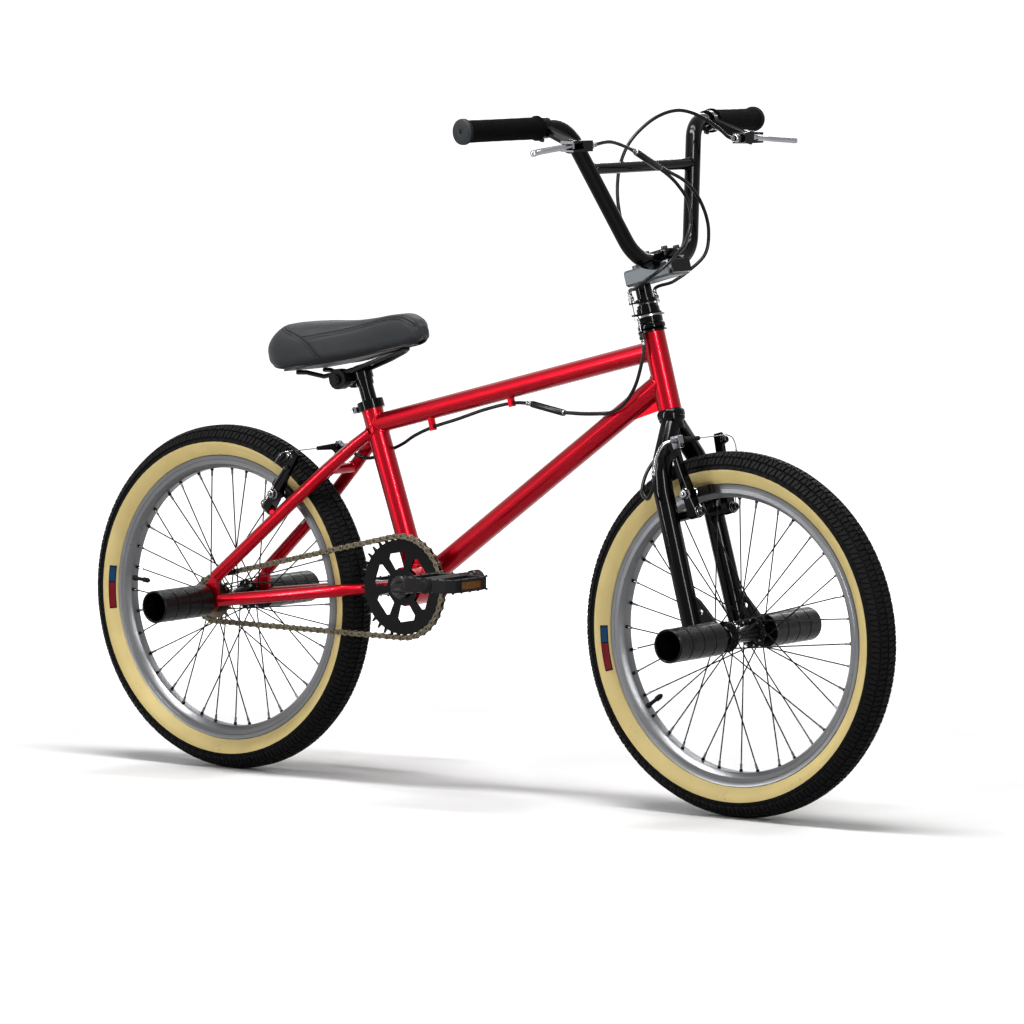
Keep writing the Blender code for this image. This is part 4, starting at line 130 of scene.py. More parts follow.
def gridFaces(rows, columns, wrapRows=False):
    # Cell (i, j) joins points (i, j), (i, j + 1), (i + 1, j + 1) and (i + 1, j), and each row ends where it starts
    i, j = np.meshgrid(np.arange(rows if wrapRows else rows - 1), np.arange(columns), indexing="ij")
    nextI, nextJ = (i + 1) % rows, (j + 1) % columns
    corners = [i * columns + j, i * columns + nextJ, nextI * columns + nextJ, nextI * columns + j]
    return np.stack(corners, -1).reshape(-1, 4)


def cappedFaces(rows, columns):
    # The grid's faces, then the first row as a face turned back and the last row as a face
    ring = np.arange(columns)
    return [gridFaces(rows, columns), np.stack([ring[::-1], ring + columns * (rows - 1)])]


def ringPoints(centres, radius, across, other, count):
    # centre + radius * (cos t * across + sin t * other), at even steps of t round every centre
    t = np.linspace(0, 2 * np.pi, count, endpoint=False)[None, :, None]
    radius = np.broadcast_to(np.asarray(radius, float), len(centres))[:, None, None]
    return centres[:, None] + radius * (np.cos(t) * across[:, None] + np.sin(t) * other[:, None])


def turned(profile, centre, axis, segments=64, closed=False, swell=1.0):
    # centre + along * axis + radius * swell * (cos t, sin t) square to the axis, for each (radius, along) given
    profile = np.asarray(profile, float)
    across, other, axis = axesAbout(axis)
    t = np.linspace(0, 2 * np.pi, segments, endpoint=False)[:, None]
    ring = np.cos(t) * across + np.sin(t) * other
    reach = profile[:, :1] * np.broadcast_to(swell, (len(profile), segments))
    points = np.asarray(centre) + profile[:, 1, None, None] * axis + reach[..., None] * ring
    return points.reshape(-1, 3), [gridFaces(len(profile), segments, closed)]


def disc(centre, axis, radius, low, high, segments=24, lowCut=0.0, highCut=0.0):
    # A round solid between two heights, its rims cut back by the given amounts
    lowRim = [(radius - lowCut, low)] if lowCut else []
    highRim = [(radius - highCut, high)] if highCut else []
    profile = [(0, low), *lowRim, (radius, low + lowCut), (radius, high - highCut), *highRim, (0, high)]
    return turned(profile, centre, axis, segments)


def bentPath(corners, bends, steps=14):
    # Straight runs with arcs at the inner corners: an arc blends its two end spokes by sines of the swing between
    corners = np.asarray(corners, float)
    points = [corners[0]]
    for k, radius in enumerate(bends, 1):
        back, ahead = unit(corners[k - 1] - corners[k]), unit(corners[k + 1] - corners[k])
        half = math.acos(float(np.clip(back @ ahead, -1, 1))) / 2
        centre = corners[k] + unit(back + ahead) * radius / math.sin(half)
        start, end = (corners[k] + way * radius / math.tan(half) - centre for way in (back, ahead))
        swing, share = math.pi - 2 * half, np.linspace(0, 1, steps)[:, None]
        arc = (np.sin((1 - share) * swing) * start + np.sin(share * swing) * end) / math.sin(swing)
        points += list(centre + arc)
    return np.array(points + [corners[-1]])


def runAlong(points):
    # Each point's distance from the first one, measured along the line
    return np.concatenate([[0], np.cumsum(np.linalg.norm(np.diff(points, axis=0), axis=1))])


def readAt(points, steps, where):
    # The line's points at the given distances, on straight runs between its own
    return np.stack([np.interp(where, steps, column) for column in points.T], -1)


def smoothThrough(points, count):
    # Cubic through every point, its slope set by the points before and after, read at even steps of length
    points = np.asarray(points, float)
    at = runAlong(points)
    slope = np.gradient(points, at, axis=0)
    where = np.linspace(0, at[-1], count)
    k = np.clip(np.searchsorted(at, where, "right") - 1, 0, len(at) - 2)
    run = (at[k + 1] - at[k])[:, None]
    s = (where - at[k])[:, None] / run
    return (points[k] * (2 * s**3 - 3 * s**2 + 1) + slope[k] * run * (s**3 - 2 * s**2 + s)
            + points[k + 1] * (3 * s**2 - 2 * s**3) + slope[k + 1] * run * (s**3 - s**2))


def tube(path, radius, count=12):
    # Rings square to the path, each ring's start carried on from the ring before
    path = np.asarray(path, float)
    along = unit(np.gradient(path, axis=0))
    across = np.empty_like(path)
    across[0] = axesAbout(along[0])[0]
    for k in range(1, len(path)):
        across[k] = unit(across[k - 1] - along[k] * (across[k - 1] @ along[k]))
    points = ringPoints(path, radius, across, np.cross(along, across), count)
    return points.reshape(-1, 3), cappedFaces(len(path), count)


def loopTube(path, radius, axis, count=8):
    # A closed bead: rings square to a closed path about the given axis, the last joined to the first
    path = np.asarray(path, float)
    along = unit(np.roll(path, -1, 0) - np.roll(path, 1, 0))
    across = unit(np.cross(along, np.broadcast_to(np.asarray(axis, float), path.shape)))
    return ringPoints(path, radius, across, np.cross(along, across), count).reshape(-1, 3), [
        gridFaces(len(path), count, True)]


def rods(starts, ends, radius, count=6):
    # Many straight bars at once, each a ring at its start and one at its end
    starts, ends = np.atleast_2d(starts).astype(float), np.atleast_2d(ends).astype(float)
    along = unit(ends - starts)
    across = unit(np.cross(along, np.where(np.abs(along[:, :1]) < 0.7, [forward], [upright])))
    rings = [ringPoints(places, radius, across, np.cross(along, across), count) for places in (starts, ends)]
    first = np.arange(len(starts))[:, None, None] * 2 * count
    walls, caps = cappedFaces(2, count)
    return np.concatenate(rings, axis=1).reshape(-1, 3), [
        (first + faces).reshape(-1, faces.shape[-1]) for faces in (walls, caps[:1], caps[1:])]


def plate(outline, thickness, place, rim=0.0):
    # A flat outline carried from one face to the other, drawn in by the rim at each face's edge
    outline = np.asarray(outline, float)
    inward = unit(outline.mean(0) - outline) * rim
    half = thickness / 2
    levels = [(-half, inward), (-half + rim, 0), (half - rim, 0), (half, inward)] if rim else [(-half, 0), (half, 0)]
    rows = [np.column_stack([outline + shift, np.full(len(outline), height)]) for height, shift in levels]
    origin, xAxis, yAxis = (np.asarray(part, float) for part in place)
    turn = np.stack([xAxis, yAxis, np.cross(xAxis, yAxis)])
    return np.concatenate(rows) @ turn + origin, cappedFaces(len(levels), len(outline))


def instances(template, origins, xs, ys, zs):
    # Copies of a small shape, each set down at its own origin along its own x, y and z directions
    points, faceSets = template
    origins = np.asarray(origins, float)
    xs, ys, zs = (np.broadcast_to(axis, origins.shape)[:, None] for axis in (xs, ys, zs))
    placed = origins[:, None] + points[None, :, :1] * xs + points[None, :, 1:2] * ys + points[None, :, 2:] * zs
    first = (np.arange(len(placed)) * len(points))[:, None, None]
    return placed.reshape(-1, 3), [(first + faces[None]).reshape(-1, faces.shape[1]) for faces in faceSets]


def seamRing(start, direction, radius, otherStart, otherDirection, otherRadius, count=84):
    # Lines along a tube's surface, each run on until its distance from the other tube's axis is that tube's radius
    direction, otherDirection = unit(direction), unit(otherDirection)
    across, up, _ = axesAbout(direction)
    t = np.linspace(0, 2 * np.pi, count, endpoint=False)[:, None]
    foot = np.asarray(start) + radius * (np.cos(t) * across + np.sin(t) * up)
    away = foot - np.asarray(otherStart)
    away = away - (away @ otherDirection)[:, None] * otherDirection
    step = direction - (direction @ otherDirection) * otherDirection
    middle = away @ step
    spread = middle**2 - (step @ step) * ((away * away).sum(1) - otherRadius**2)
    return foot + ((-middle - np.sqrt(np.maximum(spread, 0))) / (step @ step))[:, None] * direction


weldSize = {"radius": 0.0017, "ripple": 0.0003, "pace": 2.2}


def bead(ring, axis):
    # A rippled weld bead laid along a closed ring
    ripple = weldSize["ripple"] * np.sin(np.arange(len(ring)) * weldSize["pace"])
    return loopTube(ring, weldSize["radius"] + ripple, axis)


def bolt(centre, axis, radius, height, segments=20):
    # A round head with a cut edge and a recess in its face, standing on the centre and reaching a little below it
    profile = [(0, height * 0.4), (radius * 0.48, height * 0.4), (radius * 0.52, height * 0.96),
               (radius * 0.86, height), (radius, height * 0.84), (radius, -0.0005), (0, -0.0005)]
    return turned(profile, centre, axis, segments)


def hexNut(centre, axis, radius, height):
    # A six-sided nut with cut corners
    profile = [(0, height), (radius * 0.86, height), (radius, height * 0.86), (radius, height * 0.12),
               (radius * 0.9, 0), (0, 0)]
    return turned(profile, centre, axis, 6)


def clad(look, *shapes):
    # Shapes that share a look, each paired with its name
    return [(shape, look) for shape in shapes]


def piece(name, parts, body, replaces=(), crease=35):
    # Joins (shape, look) pairs into one mesh: merged, turned outwards, smooth except at its creases
    used = list(dict.fromkeys(look for _, look in parts))
    vertices, loops, starts, indexes, offset, loopCount = [], [], [], [], 0, 0
    for (points, faceSets), look in parts:
        for faces in faceSets:
            loops.append((faces + offset).ravel())
            starts.append(loopCount + np.arange(len(faces)) * faces.shape[1])
            indexes.append(np.full(len(faces), used.index(look)))
            loopCount += faces.size
        vertices.append(points)
        offset += len(points)
    mesh = bpy.data.meshes.new(name)
    mesh.vertices.add(offset)
    mesh.vertices.foreach_set("co", np.concatenate(vertices).astype(np.float32).ravel())
    mesh.loops.add(loopCount)
    mesh.loops.foreach_set("vertex_index", np.concatenate(loops).astype(np.int32))
    starts = np.concatenate(starts).astype(np.int32)
    mesh.polygons.add(len(starts))
    mesh.polygons.foreach_set("loop_start", starts)
    mesh.polygons.foreach_set("material_index", np.concatenate(indexes).astype(np.int32))
    mesh.update(calc_edges=True)
    work = bmesh.new()
    work.from_mesh(mesh)
    bmesh.ops.remove_doubles(work, verts=work.verts, dist=2e-6)
    bmesh.ops.recalc_face_normals(work, faces=work.faces)
    work.to_mesh(mesh)
    work.free()
    mesh.polygons.foreach_set("use_smooth", np.ones(len(mesh.polygons), bool))
    mesh.set_sharp_from_angle(angle=math.radians(crease))
    for look in used:
        mesh.materials.append(looks[look])
    made = bpy.data.objects.new(name, mesh)
    bpy.context.scene.collection.objects.link(made)
    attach(made, body)
    if replaces:
        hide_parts(*replaces)
    return made


# Finishes: colours are written as they show on a screen
def paint(red, green, blue):
    # Screen values of 0 to 255 as linear light
    value = np.array([red, green, blue]) / 255
    return (*np.where(value <= 0.04045, value / 12.92, ((value + 0.055) / 1.055) ** 2.4).tolist(), 1.0)


def feed(tree, socket, value):
    # A socket takes a link from another socket, or a plain value
    if isinstance(value, bpy.types.NodeSocket):
        tree.links.new(value, socket)
    else:
        socket.default_value = value


def addNode(tree, kind, **values):
    node = tree.nodes.new("ShaderNode" + kind)
    for label, value in values.items():
        feed(tree, node.inputs[label], value)
    return node


def calculate(tree, operation, *values):
    node = addNode(tree, "Math")
    node.operation = operation
    for socket, value in zip(node.inputs, values):
        feed(tree, socket, value)
    return node.outputs[0]


def noise(tree, vector, scale, detail=4.0, rough=0.55):
    return addNode(tree, "TexNoise", Detail=detail, Roughness=rough, Vector=vector, Scale=scale).outputs["Fac"]


def mixColor(tree, factor, first, second):
    node = addNode(tree, "Mix")
    node.data_type = "RGBA"
    for number, value in ((0, factor), (6, first), (7, second)):
        feed(tree, node.inputs[number], value)
    return node.outputs[2]


def effect(name, inputs, outputs):
    # A node group: an input given None carries a vector, one given a tuple a colour, and any other a number
    group = bpy.data.node_groups.new(name, "ShaderNodeTree")
    for label, value in inputs.items():
        kind = "Vector" if value is None else "Color" if isinstance(value, tuple) else "Float"
        socket = group.interface.new_socket(name=label, in_out="INPUT", socket_type="NodeSocket" + kind)
        if value is not None:
            socket.default_value = value
    for label in outputs:
        kind = "Color" if label == "Color" else "Float"
        group.interface.new_socket(name=label, in_out="OUTPUT", socket_type="NodeSocket" + kind)
    return group, group.nodes.new("NodeGroupInput").outputs, group.nodes.new("NodeGroupOutput").inputs


white, black = (1, 1, 1, 1), (0, 0, 0, 1)


def toneEffect():
    # Colour drifts between darker and lighter with a soft noise, and roughness drifts with a finer one
    group, given, end = effect("toneDrift", {"Vector": None, "Color": white, "Dark": black, "Amount": 0.2,
                                             "Roughness": 0.4, "Smear": 0.08, "Scale": 12.0}, ("Color", "Roughness"))
    broad = noise(group, given["Vector"], given["Scale"], 3.0)
    fine = noise(group, given["Vector"], calculate(group, "MULTIPLY", given["Scale"], 7.0), 5.0, 0.65)
    share = calculate(group, "MULTIPLY", calculate(group, "MULTIPLY_ADD", broad, 1.6, -0.3), given["Amount"])
    feed(group, end["Color"], mixColor(group, share, given["Color"], given["Dark"]))
    drift = calculate(group, "MULTIPLY", calculate(group, "SUBTRACT", fine, 0.5), given["Smear"])
    feed(group, end["Roughness"], calculate(group, "ADD", given["Roughness"], drift))
    return group


def dustEffect():
    # Pale dust where the surface faces up and a patchy noise allows it
    group, given, end = effect("settledDust", {"Vector": None, "Color": white, "Dust": (0.35, 0.31, 0.26, 1),
                                               "Amount": 0.1, "Roughness": 0.4}, ("Color", "Roughness"))
    split = addNode(group, "SeparateXYZ", Vector=addNode(group, "NewGeometry").outputs["Normal"])
    upward = calculate(group, "MAXIMUM", calculate(group, "MULTIPLY_ADD", split.outputs[2], 0.8, 0.2), 0.05)
    patchy = calculate(group, "MULTIPLY_ADD", noise(group, given["Vector"], 60.0, 6.0, 0.7), 2.2, -0.7)
    patchy = calculate(group, "MAXIMUM", patchy, 0.0)
    share = calculate(group, "MULTIPLY", calculate(group, "MULTIPLY", upward, patchy), given["Amount"])
    share = calculate(group, "MINIMUM", share, 1.0)
    feed(group, end["Color"], mixColor(group, share, given["Color"], given["Dust"]))
    rise = calculate(group, "MULTIPLY", share, 0.4)
    feed(group, end["Roughness"], calculate(group, "ADD", given["Roughness"], rise))
    return group


def grainEffect():
    # Height of a fine surface grain: noise added to small closed cells
    group, given, end = effect("fineGrain", {"Vector": None, "Scale": 900.0, "Cells": 0.0, "Height": 1.0}, ("Height",))
    cells = addNode(group, "TexVoronoi", Vector=given["Vector"], Scale=given["Scale"])
    cells.feature = "DISTANCE_TO_EDGE"
    walls = calculate(group, "MINIMUM", calculate(group, "MULTIPLY", cells.outputs["Distance"], 3.0), 1.0)
    walls = calculate(group, "MULTIPLY", walls, given["Cells"])
    fine = calculate(group, "ADD", noise(group, given["Vector"], given["Scale"], 2.0), walls)
    feed(group, end["Height"], calculate(group, "MULTIPLY", fine, given["Height"]))
    return group


def marksEffect():
    # Small sparse marks: the middles of scattered cells, kept only where a broad noise is high
    group, given, end = effect("sparseMarks", {"Vector": None, "Scale": 120.0}, ("Mask",))
    cells = addNode(group, "TexVoronoi", Vector=given["Vector"], Scale=given["Scale"])
    near = calculate(group, "SUBTRACT", 1.0, calculate(group, "MULTIPLY", cells.outputs["Distance"], 5.5))
    where = calculate(group, "MULTIPLY_ADD", noise(group, given["Vector"], 38.0, 2.0), 9.0, -5.2)
    near = calculate(group, "MAXIMUM", near, 0.0)
    where = calculate(group, "MINIMUM", calculate(group, "MAXIMUM", where, 0.0), 1.0)
    feed(group, end["Mask"], calculate(group, "MULTIPLY", near, where))
    return group


toneDrift, settledDust, fineGrain, sparseMarks = toneEffect(), dustEffect(), grainEffect(), marksEffect()


def useGroup(tree, group, **values):
    node = tree.nodes.new("ShaderNodeGroup")
    node.node_tree = group
    for label, value in values.items():
        feed(tree, node.inputs[label], value)
    return node.outputs


usual = {"roughness": 0.4, "metallic": 0.0, "coat": 0.0, "coatRoughness": 0.05, "coatIor": 1.13, "amount": 0.4,
         "scale": 60.0, "smear": 0.1, "dust": 0.0, "grain": 900.0, "cells": 0.0, "bump": 0.0, "specular": 0.06,
         "sheen": 0.0, "marks": None}
shaderSockets = {"Metallic": "metallic", "Coat Weight": "coat", "Coat Roughness": "coatRoughness",
                 "Coat IOR": "coatIor", "Specular IOR Level": "specular", "Sheen Weight": "sheen"}


def finish(name, color, dark, settings, centre=(0, 0, 0), height=None):
    # A shader with tone drift, settled dust and a fine grain; the constants go straight on its sockets
    given = {**usual, **settings}
    color, dark = paint(*color), paint(*dark)
    made = bpy.data.materials.new(name)
    made.use_nodes = True
    made.diffuse_color = color
    tree = made.node_tree
    shader = tree.nodes["Principled BSDF"]
    spot = addNode(tree, "TexCoord").outputs["Object"]
    shift = addNode(tree, "Mapping", Location=[-value for value in centre], Vector=spot)
    vector = shift.outputs[0]
    tone = useGroup(tree, toneDrift, Vector=vector, Color=color, Dark=dark, Amount=given["amount"],
                    Roughness=given["roughness"], Smear=given["smear"], Scale=given["scale"])
    if given["dust"]:
        tone = useGroup(tree, settledDust, Vector=vector, Color=tone["Color"], Amount=given["dust"],
                        Roughness=tone["Roughness"])
    shown = tone["Color"]
    if given["marks"]:
        shown = mixColor(tree, useGroup(tree, sparseMarks, Vector=vector)["Mask"], shown, paint(*given["marks"]))
    feed(tree, shader.inputs["Base Color"], shown)
    feed(tree, shader.inputs["Roughness"], tone["Roughness"])
    for label, key in shaderSockets.items():
        shader.inputs[label].default_value = given[key]
    relief = []
    if given["bump"]:
        relief.append(useGroup(tree, fineGrain, Vector=vector, Scale=given["grain"], Cells=given["cells"],
                               Height=1.0)["Height"])
    if height is not None:
        relief.append(height(tree, vector))
    if relief:
        raised = relief[0] if len(relief) == 1 else calculate(tree, "ADD", *relief)
        bump = addNode(tree, "Bump", Strength=1.0, Distance=given["bump"] or given["reliefDepth"], Height=raised)
        feed(tree, shader.inputs["Normal"], bump.outputs[0])
    return made


finishes = {  # colour, its darker tone, then what differs from the usual settings
    "candyRed": ((160, 0, 22), (104, 0, 9), dict(
        roughness=0.28, metallic=0.55, coat=1.0, coatRoughness=0.08, coatIor=1.16, specular=0.02, amount=0.35,
        scale=5.0, smear=0.05, grain=2600.0, bump=0.00002, dust=0.02)),
    "glossBlack": ((5, 5, 6), (2, 2, 3), dict(
        roughness=0.16, coat=1.0, coatIor=1.12, coatRoughness=0.07, scale=9.0, smear=0.08, grain=500.0, bump=0.00001,
        specular=0.03, dust=0.01)),
    "crankBlack": ((18, 17, 18), (10, 9, 10), dict(
        roughness=0.3, metallic=0.1, coat=0.6, specular=0.08, amount=0.5, scale=20.0, smear=0.12, bump=0.00002,
        dust=0.02)),
    "satinBlack": ((19, 19, 20), (10, 10, 11), dict(
        roughness=0.38, metallic=0.1, scale=20.0, smear=0.12, grain=1500.0, bump=0.00002, dust=0.02)),
    "stemGrey": ((80, 85, 89), (52, 56, 60), dict(
        metallic=0.35, specular=0.2, scale=18.0, grain=1800.0, bump=0.00002)),
    "blackPlastic": ((20, 20, 21), (12, 12, 13), dict(
        roughness=0.5, scale=30.0, grain=1800.0, cells=0.4, bump=0.00005, dust=0.05)),
    "cableBlack": ((14, 14, 15), (8, 8, 9), dict(
        roughness=0.28, smear=0.12, grain=2200.0, bump=0.00001, specular=0.12)),
    "rubberBlack": ((20, 20, 20), (11, 11, 11), dict(roughness=0.7, amount=0.5, grain=1300.0, bump=0.00006, dust=0.08)),
    "gripFoam": ((9, 9, 10), (4, 4, 5), dict(
        roughness=0.92, amount=0.6, scale=90.0, grain=1500.0, cells=0.8, bump=0.00025, sheen=0.01, specular=0.02)),
    "gripEnd": ((62, 65, 68), (44, 46, 48), dict(roughness=0.55, grain=1300.0, bump=0.00004)),
    "brightSteel": ((112, 112, 115), (62, 62, 66), dict(
        roughness=0.2, metallic=1.0, scale=30.0, smear=0.12, grain=2000.0, bump=0.00001)),
    "leverAlloy": ((138, 139, 143), (88, 89, 94), dict(
        roughness=0.24, metallic=1.0, amount=0.3, scale=40.0, smear=0.15, grain=1500.0, bump=0.00002)),
    "darkSteel": ((44, 43, 43), (22, 21, 21), dict(
        roughness=0.34, metallic=0.9, amount=0.6, smear=0.2, grain=1200.0, bump=0.00003)),
    "brass": ((196, 160, 84), (140, 108, 48), dict(
        roughness=0.25, metallic=1.0, scale=80.0, grain=1500.0, bump=0.00001)),
    "chainPlate": ((84, 77, 64), (40, 36, 28), dict(
        roughness=0.34, metallic=1.0, amount=0.7, scale=120.0, smear=0.25, grain=2500.0, bump=0.00003, dust=0.06)),
    "spokeBlack": ((14, 14, 15), (8, 8, 8), dict(roughness=0.34, metallic=0.4, scale=40.0)),
    "amberLens": ((128, 78, 14), (66, 38, 8), dict(
        roughness=0.18, coat=1.0, amount=0.7, scale=260.0, grain=700.0, cells=1.0, bump=0.0004)),
    "treadRubber": ((17, 17, 18), (9, 9, 9), dict(
        roughness=0.6, amount=0.6, scale=35.0, smear=0.25, grain=700.0, bump=0.00012, dust=0.02, specular=0.04)),
    "patchBlue": ((18, 66, 108), (10, 40, 76), dict(roughness=0.5, amount=0.5, scale=160.0)),
    "patchRed": ((124, 18, 30), (80, 10, 18), dict(roughness=0.5, amount=0.5, scale=160.0)),
    "saddleVinyl": ((36, 39, 43), (23, 25, 28), dict(
        roughness=0.36, scale=22.0, smear=0.12, grain=1100.0, cells=1.0, bump=0.00016, specular=0.12, dust=0.01)),
    "pipingVinyl": ((20, 20, 22), (12, 12, 13), dict(roughness=0.3, specular=0.2)),
    "stitchThread": ((16, 16, 18), (9, 9, 10), dict(roughness=0.7, amount=0.5, scale=300.0)),
}
looks = {name: finish(name, *given) for name, given in finishes.items()}


def crossRings(tree, vector):
    # Fine turning marks: a wave along the axle, broken by noise
    split = addNode(tree, "SeparateXYZ", Vector=vector)
    wave = calculate(tree, "SINE", calculate(tree, "MULTIPLY", split.outputs[1], 5200.0))
    return calculate(tree, "MULTIPLY", wave, noise(tree, vector, 40.0, 2.0))


def roundLines(count):
    # Fine rings round the wheel's axle, from noise read at the distance from it
    def height(tree, vector):
        split = addNode(tree, "SeparateXYZ", Vector=vector).outputs
        squares = [calculate(tree, "MULTIPLY", split[k], split[k]) for k in (0, 2)]
        square = calculate(tree, "ADD", *squares)
        line = addNode(tree, "CombineXYZ", Y=split[1])
        feed(tree, line.inputs["X"], calculate(tree, "SQRT", square))
        return noise(tree, line.outputs[0], count, 4.0, 0.7)
    return height


looks["pegBlack"] = finish("pegBlack", (14, 14, 15), (7, 7, 8), dict(
    roughness=0.3, metallic=0.2, specular=0.04, coat=0.5, coatRoughness=0.14, amount=0.5, scale=30.0, smear=0.15,
    reliefDepth=0.00012), height=crossRings)
for title, centre in wheelPlaces:
    looks[title + "Alloy"] = finish(title + "Alloy", (104, 105, 107), (60, 61, 64), dict(
        roughness=0.3, metallic=0.6, specular=0.3, amount=0.55, scale=9.0, smear=0.15, reliefDepth=0.00006),
        centre, roundLines(900.0))
    # Tan casing: soft stains, a few small brown marks, faint rings and the fine grain of moulded rubber
    looks[title + "Sidewall"] = finish(title + "Sidewall", (226, 205, 141), (196, 173, 111), dict(
        roughness=0.66, amount=0.5, scale=16.0, smear=0.15, grain=800.0, bump=0.00006, specular=0.10, dust=0.03,
        marks=(150, 98, 46)), centre, roundLines(420.0))
print("finishes made")


tyreSize = {"crown": 0.2500, "knob": 0.0030, "pitches": 104, "slit": 0.035, "tanEnds": 0.2292, "beadRadius": 0.2098,
            "hairs": 150, "hairReach": (0.021, 0.033), "hair": 0.00025, "around": 180, "stripSteps": 17}
treadRows = [  # middle of the row from the crown, width, share of the pitch filled, offset in pitches, height share
    (0.0000, 0.0112, 0.86, 0.00, 1.00), (0.0125, 0.0104, 0.86, 0.50, 1.00), (0.0246, 0.0108, 0.88, 0.00, 0.92),
    (0.0333, 0.0036, 0.34, 0.25, 0.35)]
tyrePatch = {"front": (180, 186, 196), "rear": (171, 177, 187), "radii": (0.2128, 0.2190), "lift": 0.0006,
             "border": 0.5, "edge": 0.0009}
rimSize = {"radius": 0.2095, "half": 0.015, "depth": 0.0195, "trackDepth": 0.013, "floorHalf": 0.00825}
valveSize = {"front": 215, "rear": 175, "length": 0.029, "stem": 0.0027, "foot": 0.0042, "cap": 0.0036,
             "capLength": 0.011}
hubSize = {"shell": 0.0122, "flange": 0.0215, "flangeHalf": 0.0018, "spokeCircle": 0.0180, "spoke": 0.00098,
           "rimStagger": 0.003, "spokes": 36, "crossings": 3, "nippleLength": 0.012, "front": (-0.031, 0.031),
           "rear": (-0.0265, 0.034)}


def tyreSection(count):
    # Half a carcass section, crown to bead, as a smooth curve of (radius, side) through its own points
    crown = tyreSize["crown"]
    return smoothThrough([(crown, 0), (crown - 0.0003, 0.0055), (crown - 0.0024, 0.0125), (crown - 0.0072, 0.0190),
                          (crown - 0.0140, 0.0236), (0.2292, 0.0261), (0.2225, 0.0256), (0.2165, 0.0221),
                          (0.2125, 0.0181), (tyreSize["beadRadius"], 0.0149)], count)


def onTyre(half, angle, along, lift):
    # The section at a signed distance from the crown, raised along its own normal, then turned about the axle
    steps = runAlong(half)
    slope = unit(np.gradient(half, steps, axis=0))
    radius, side, runRadius, runSide = (np.interp(np.abs(along), steps, column) for column in (*half.T, *slope.T))
    radius = radius + lift * runSide
    side = (side - lift * runRadius) * np.where(np.asarray(along) < 0, -1, 1)
    radius, side, angle = np.broadcast_arrays(radius, side, angle)
    return np.stack([radius * np.cos(angle), side, radius * np.sin(angle)], -1)


def treadKnobs(half, row, sign, flip):
    # Each knob is two leaning blocks with a slit between; a block's rings are its foot, shoulder and smaller top
    distance, width, fill, offset, share = row
    reach, lean, slit = fill / 2, fill * 0.16 * flip, tyreSize["slit"]
    corner = np.array([[[-reach, -1], [-lean - slit, -1], [lean - slit, 1], [-reach, 1]],
                       [[-lean + slit, -1], [reach, -1], [reach, 1], [lean + slit, 1]]])
    top = corner + (corner.mean(1, keepdims=True) - corner) * 0.16
    rings = np.stack([corner, corner, top], 1)
    height = tyreSize["knob"] * share
    lift = (np.array([-0.0006, 0.72, 1.0]) * [1, height, height])[None, None, :, None]
    pitch = 2 * np.pi / tyreSize["pitches"]
    angle = (np.arange(tyreSize["pitches"])[:, None, None, None] + offset + rings[None, ..., 0]) * pitch
    along = sign * distance + rings[None, ..., 1] * width / 2
    points = onTyre(half, angle, np.broadcast_to(along, angle.shape), lift).reshape(-1, 3)
    first = (np.arange(len(points) // 12) * 12)[:, None, None]
    cell = np.concatenate([gridFaces(3, 4), [[8, 9, 10, 11], [3, 2, 1, 0]]])[None]
    return points, [(first + cell).reshape(-1, 4)]


def tyreStrip(half, first, last, radii, lift):
    # A thin closed strip laid on the right wall between two angles and two radii
    steps, count = runAlong(half), tyreSize["stripSteps"]
    near, far = (-np.interp(-value, -half[:, 0], steps) for value in radii)
    angle = np.radians(np.linspace(first, last, count))[:, None]
    across = np.array([near, far, far, (near + far) / 2, near])[None]
    points = onTyre(half, angle, across, np.array([-0.0003, -0.0003, lift, lift, lift])[None]).reshape(-1, 3)
    return points, cappedFaces(count, 5)


def makeTyre(title, centre):
    half, around = tyreSection(34), tyreSize["around"]
    section = np.concatenate([half[::-1], (half * [1, -1])[1:], [(tyreSize["beadRadius"], 0.0)]])
    points, (quads,) = turned(section, centre, sideways, around, closed=True)
    quads = quads.reshape(len(section), around, 4)
    tan = (section[:, 0] + np.roll(section[:, 0], -1)) / 2 < tyreSize["tanEnds"]
    parts = clad(title + "Sidewall", (points, [quads[tan].reshape(-1, 4)]))
    parts += clad("treadRubber", (points, [quads[~tan].reshape(-1, 4)]))

    def lay(look, shape):
        parts.extend(clad(look, (shape[0] + centre, shape[1])))

    for number, row in enumerate(treadRows):
        for sign in (1, -1) if number else (1,):
            lay("treadRubber", treadKnobs(half, row, sign, sign * (-1) ** number))
    # Moulding hairs along both shoulders
    scatter, count = np.random.default_rng(5), tyreSize["hairs"]
    angle = scatter.uniform(0, 2 * np.pi, count)
    along = scatter.choice([-1, 1], count) * scatter.uniform(*tyreSize["hairReach"], count)
    ends = (onTyre(half, angle + shift, along, lift) + centre for shift, lift in ((0, 0.001), (0.003, 0.0046)))
    parts += clad("treadRubber", rods(*ends, tyreSize["hair"], 4))
    # A plain two-colour patch on the right wall, with a dark edge
    first, middle, last = tyrePatch[title]
    radii, lift, border = (tyrePatch[key] for key in ("radii", "lift", "border"))
    edges = (radii[0] - tyrePatch["edge"], radii[1] + tyrePatch["edge"])
    lay("treadRubber", tyreStrip(half, first - border, last + border, edges, lift * 0.6))
    lay("patchBlue", tyreStrip(half, first, middle - border / 2, radii, lift))
    lay("patchRed", tyreStrip(half, middle + border / 2, last, radii, lift))
    piece(title + "_tyre_skin", parts, title + "_wheel", [title + "_tyre"], 40)


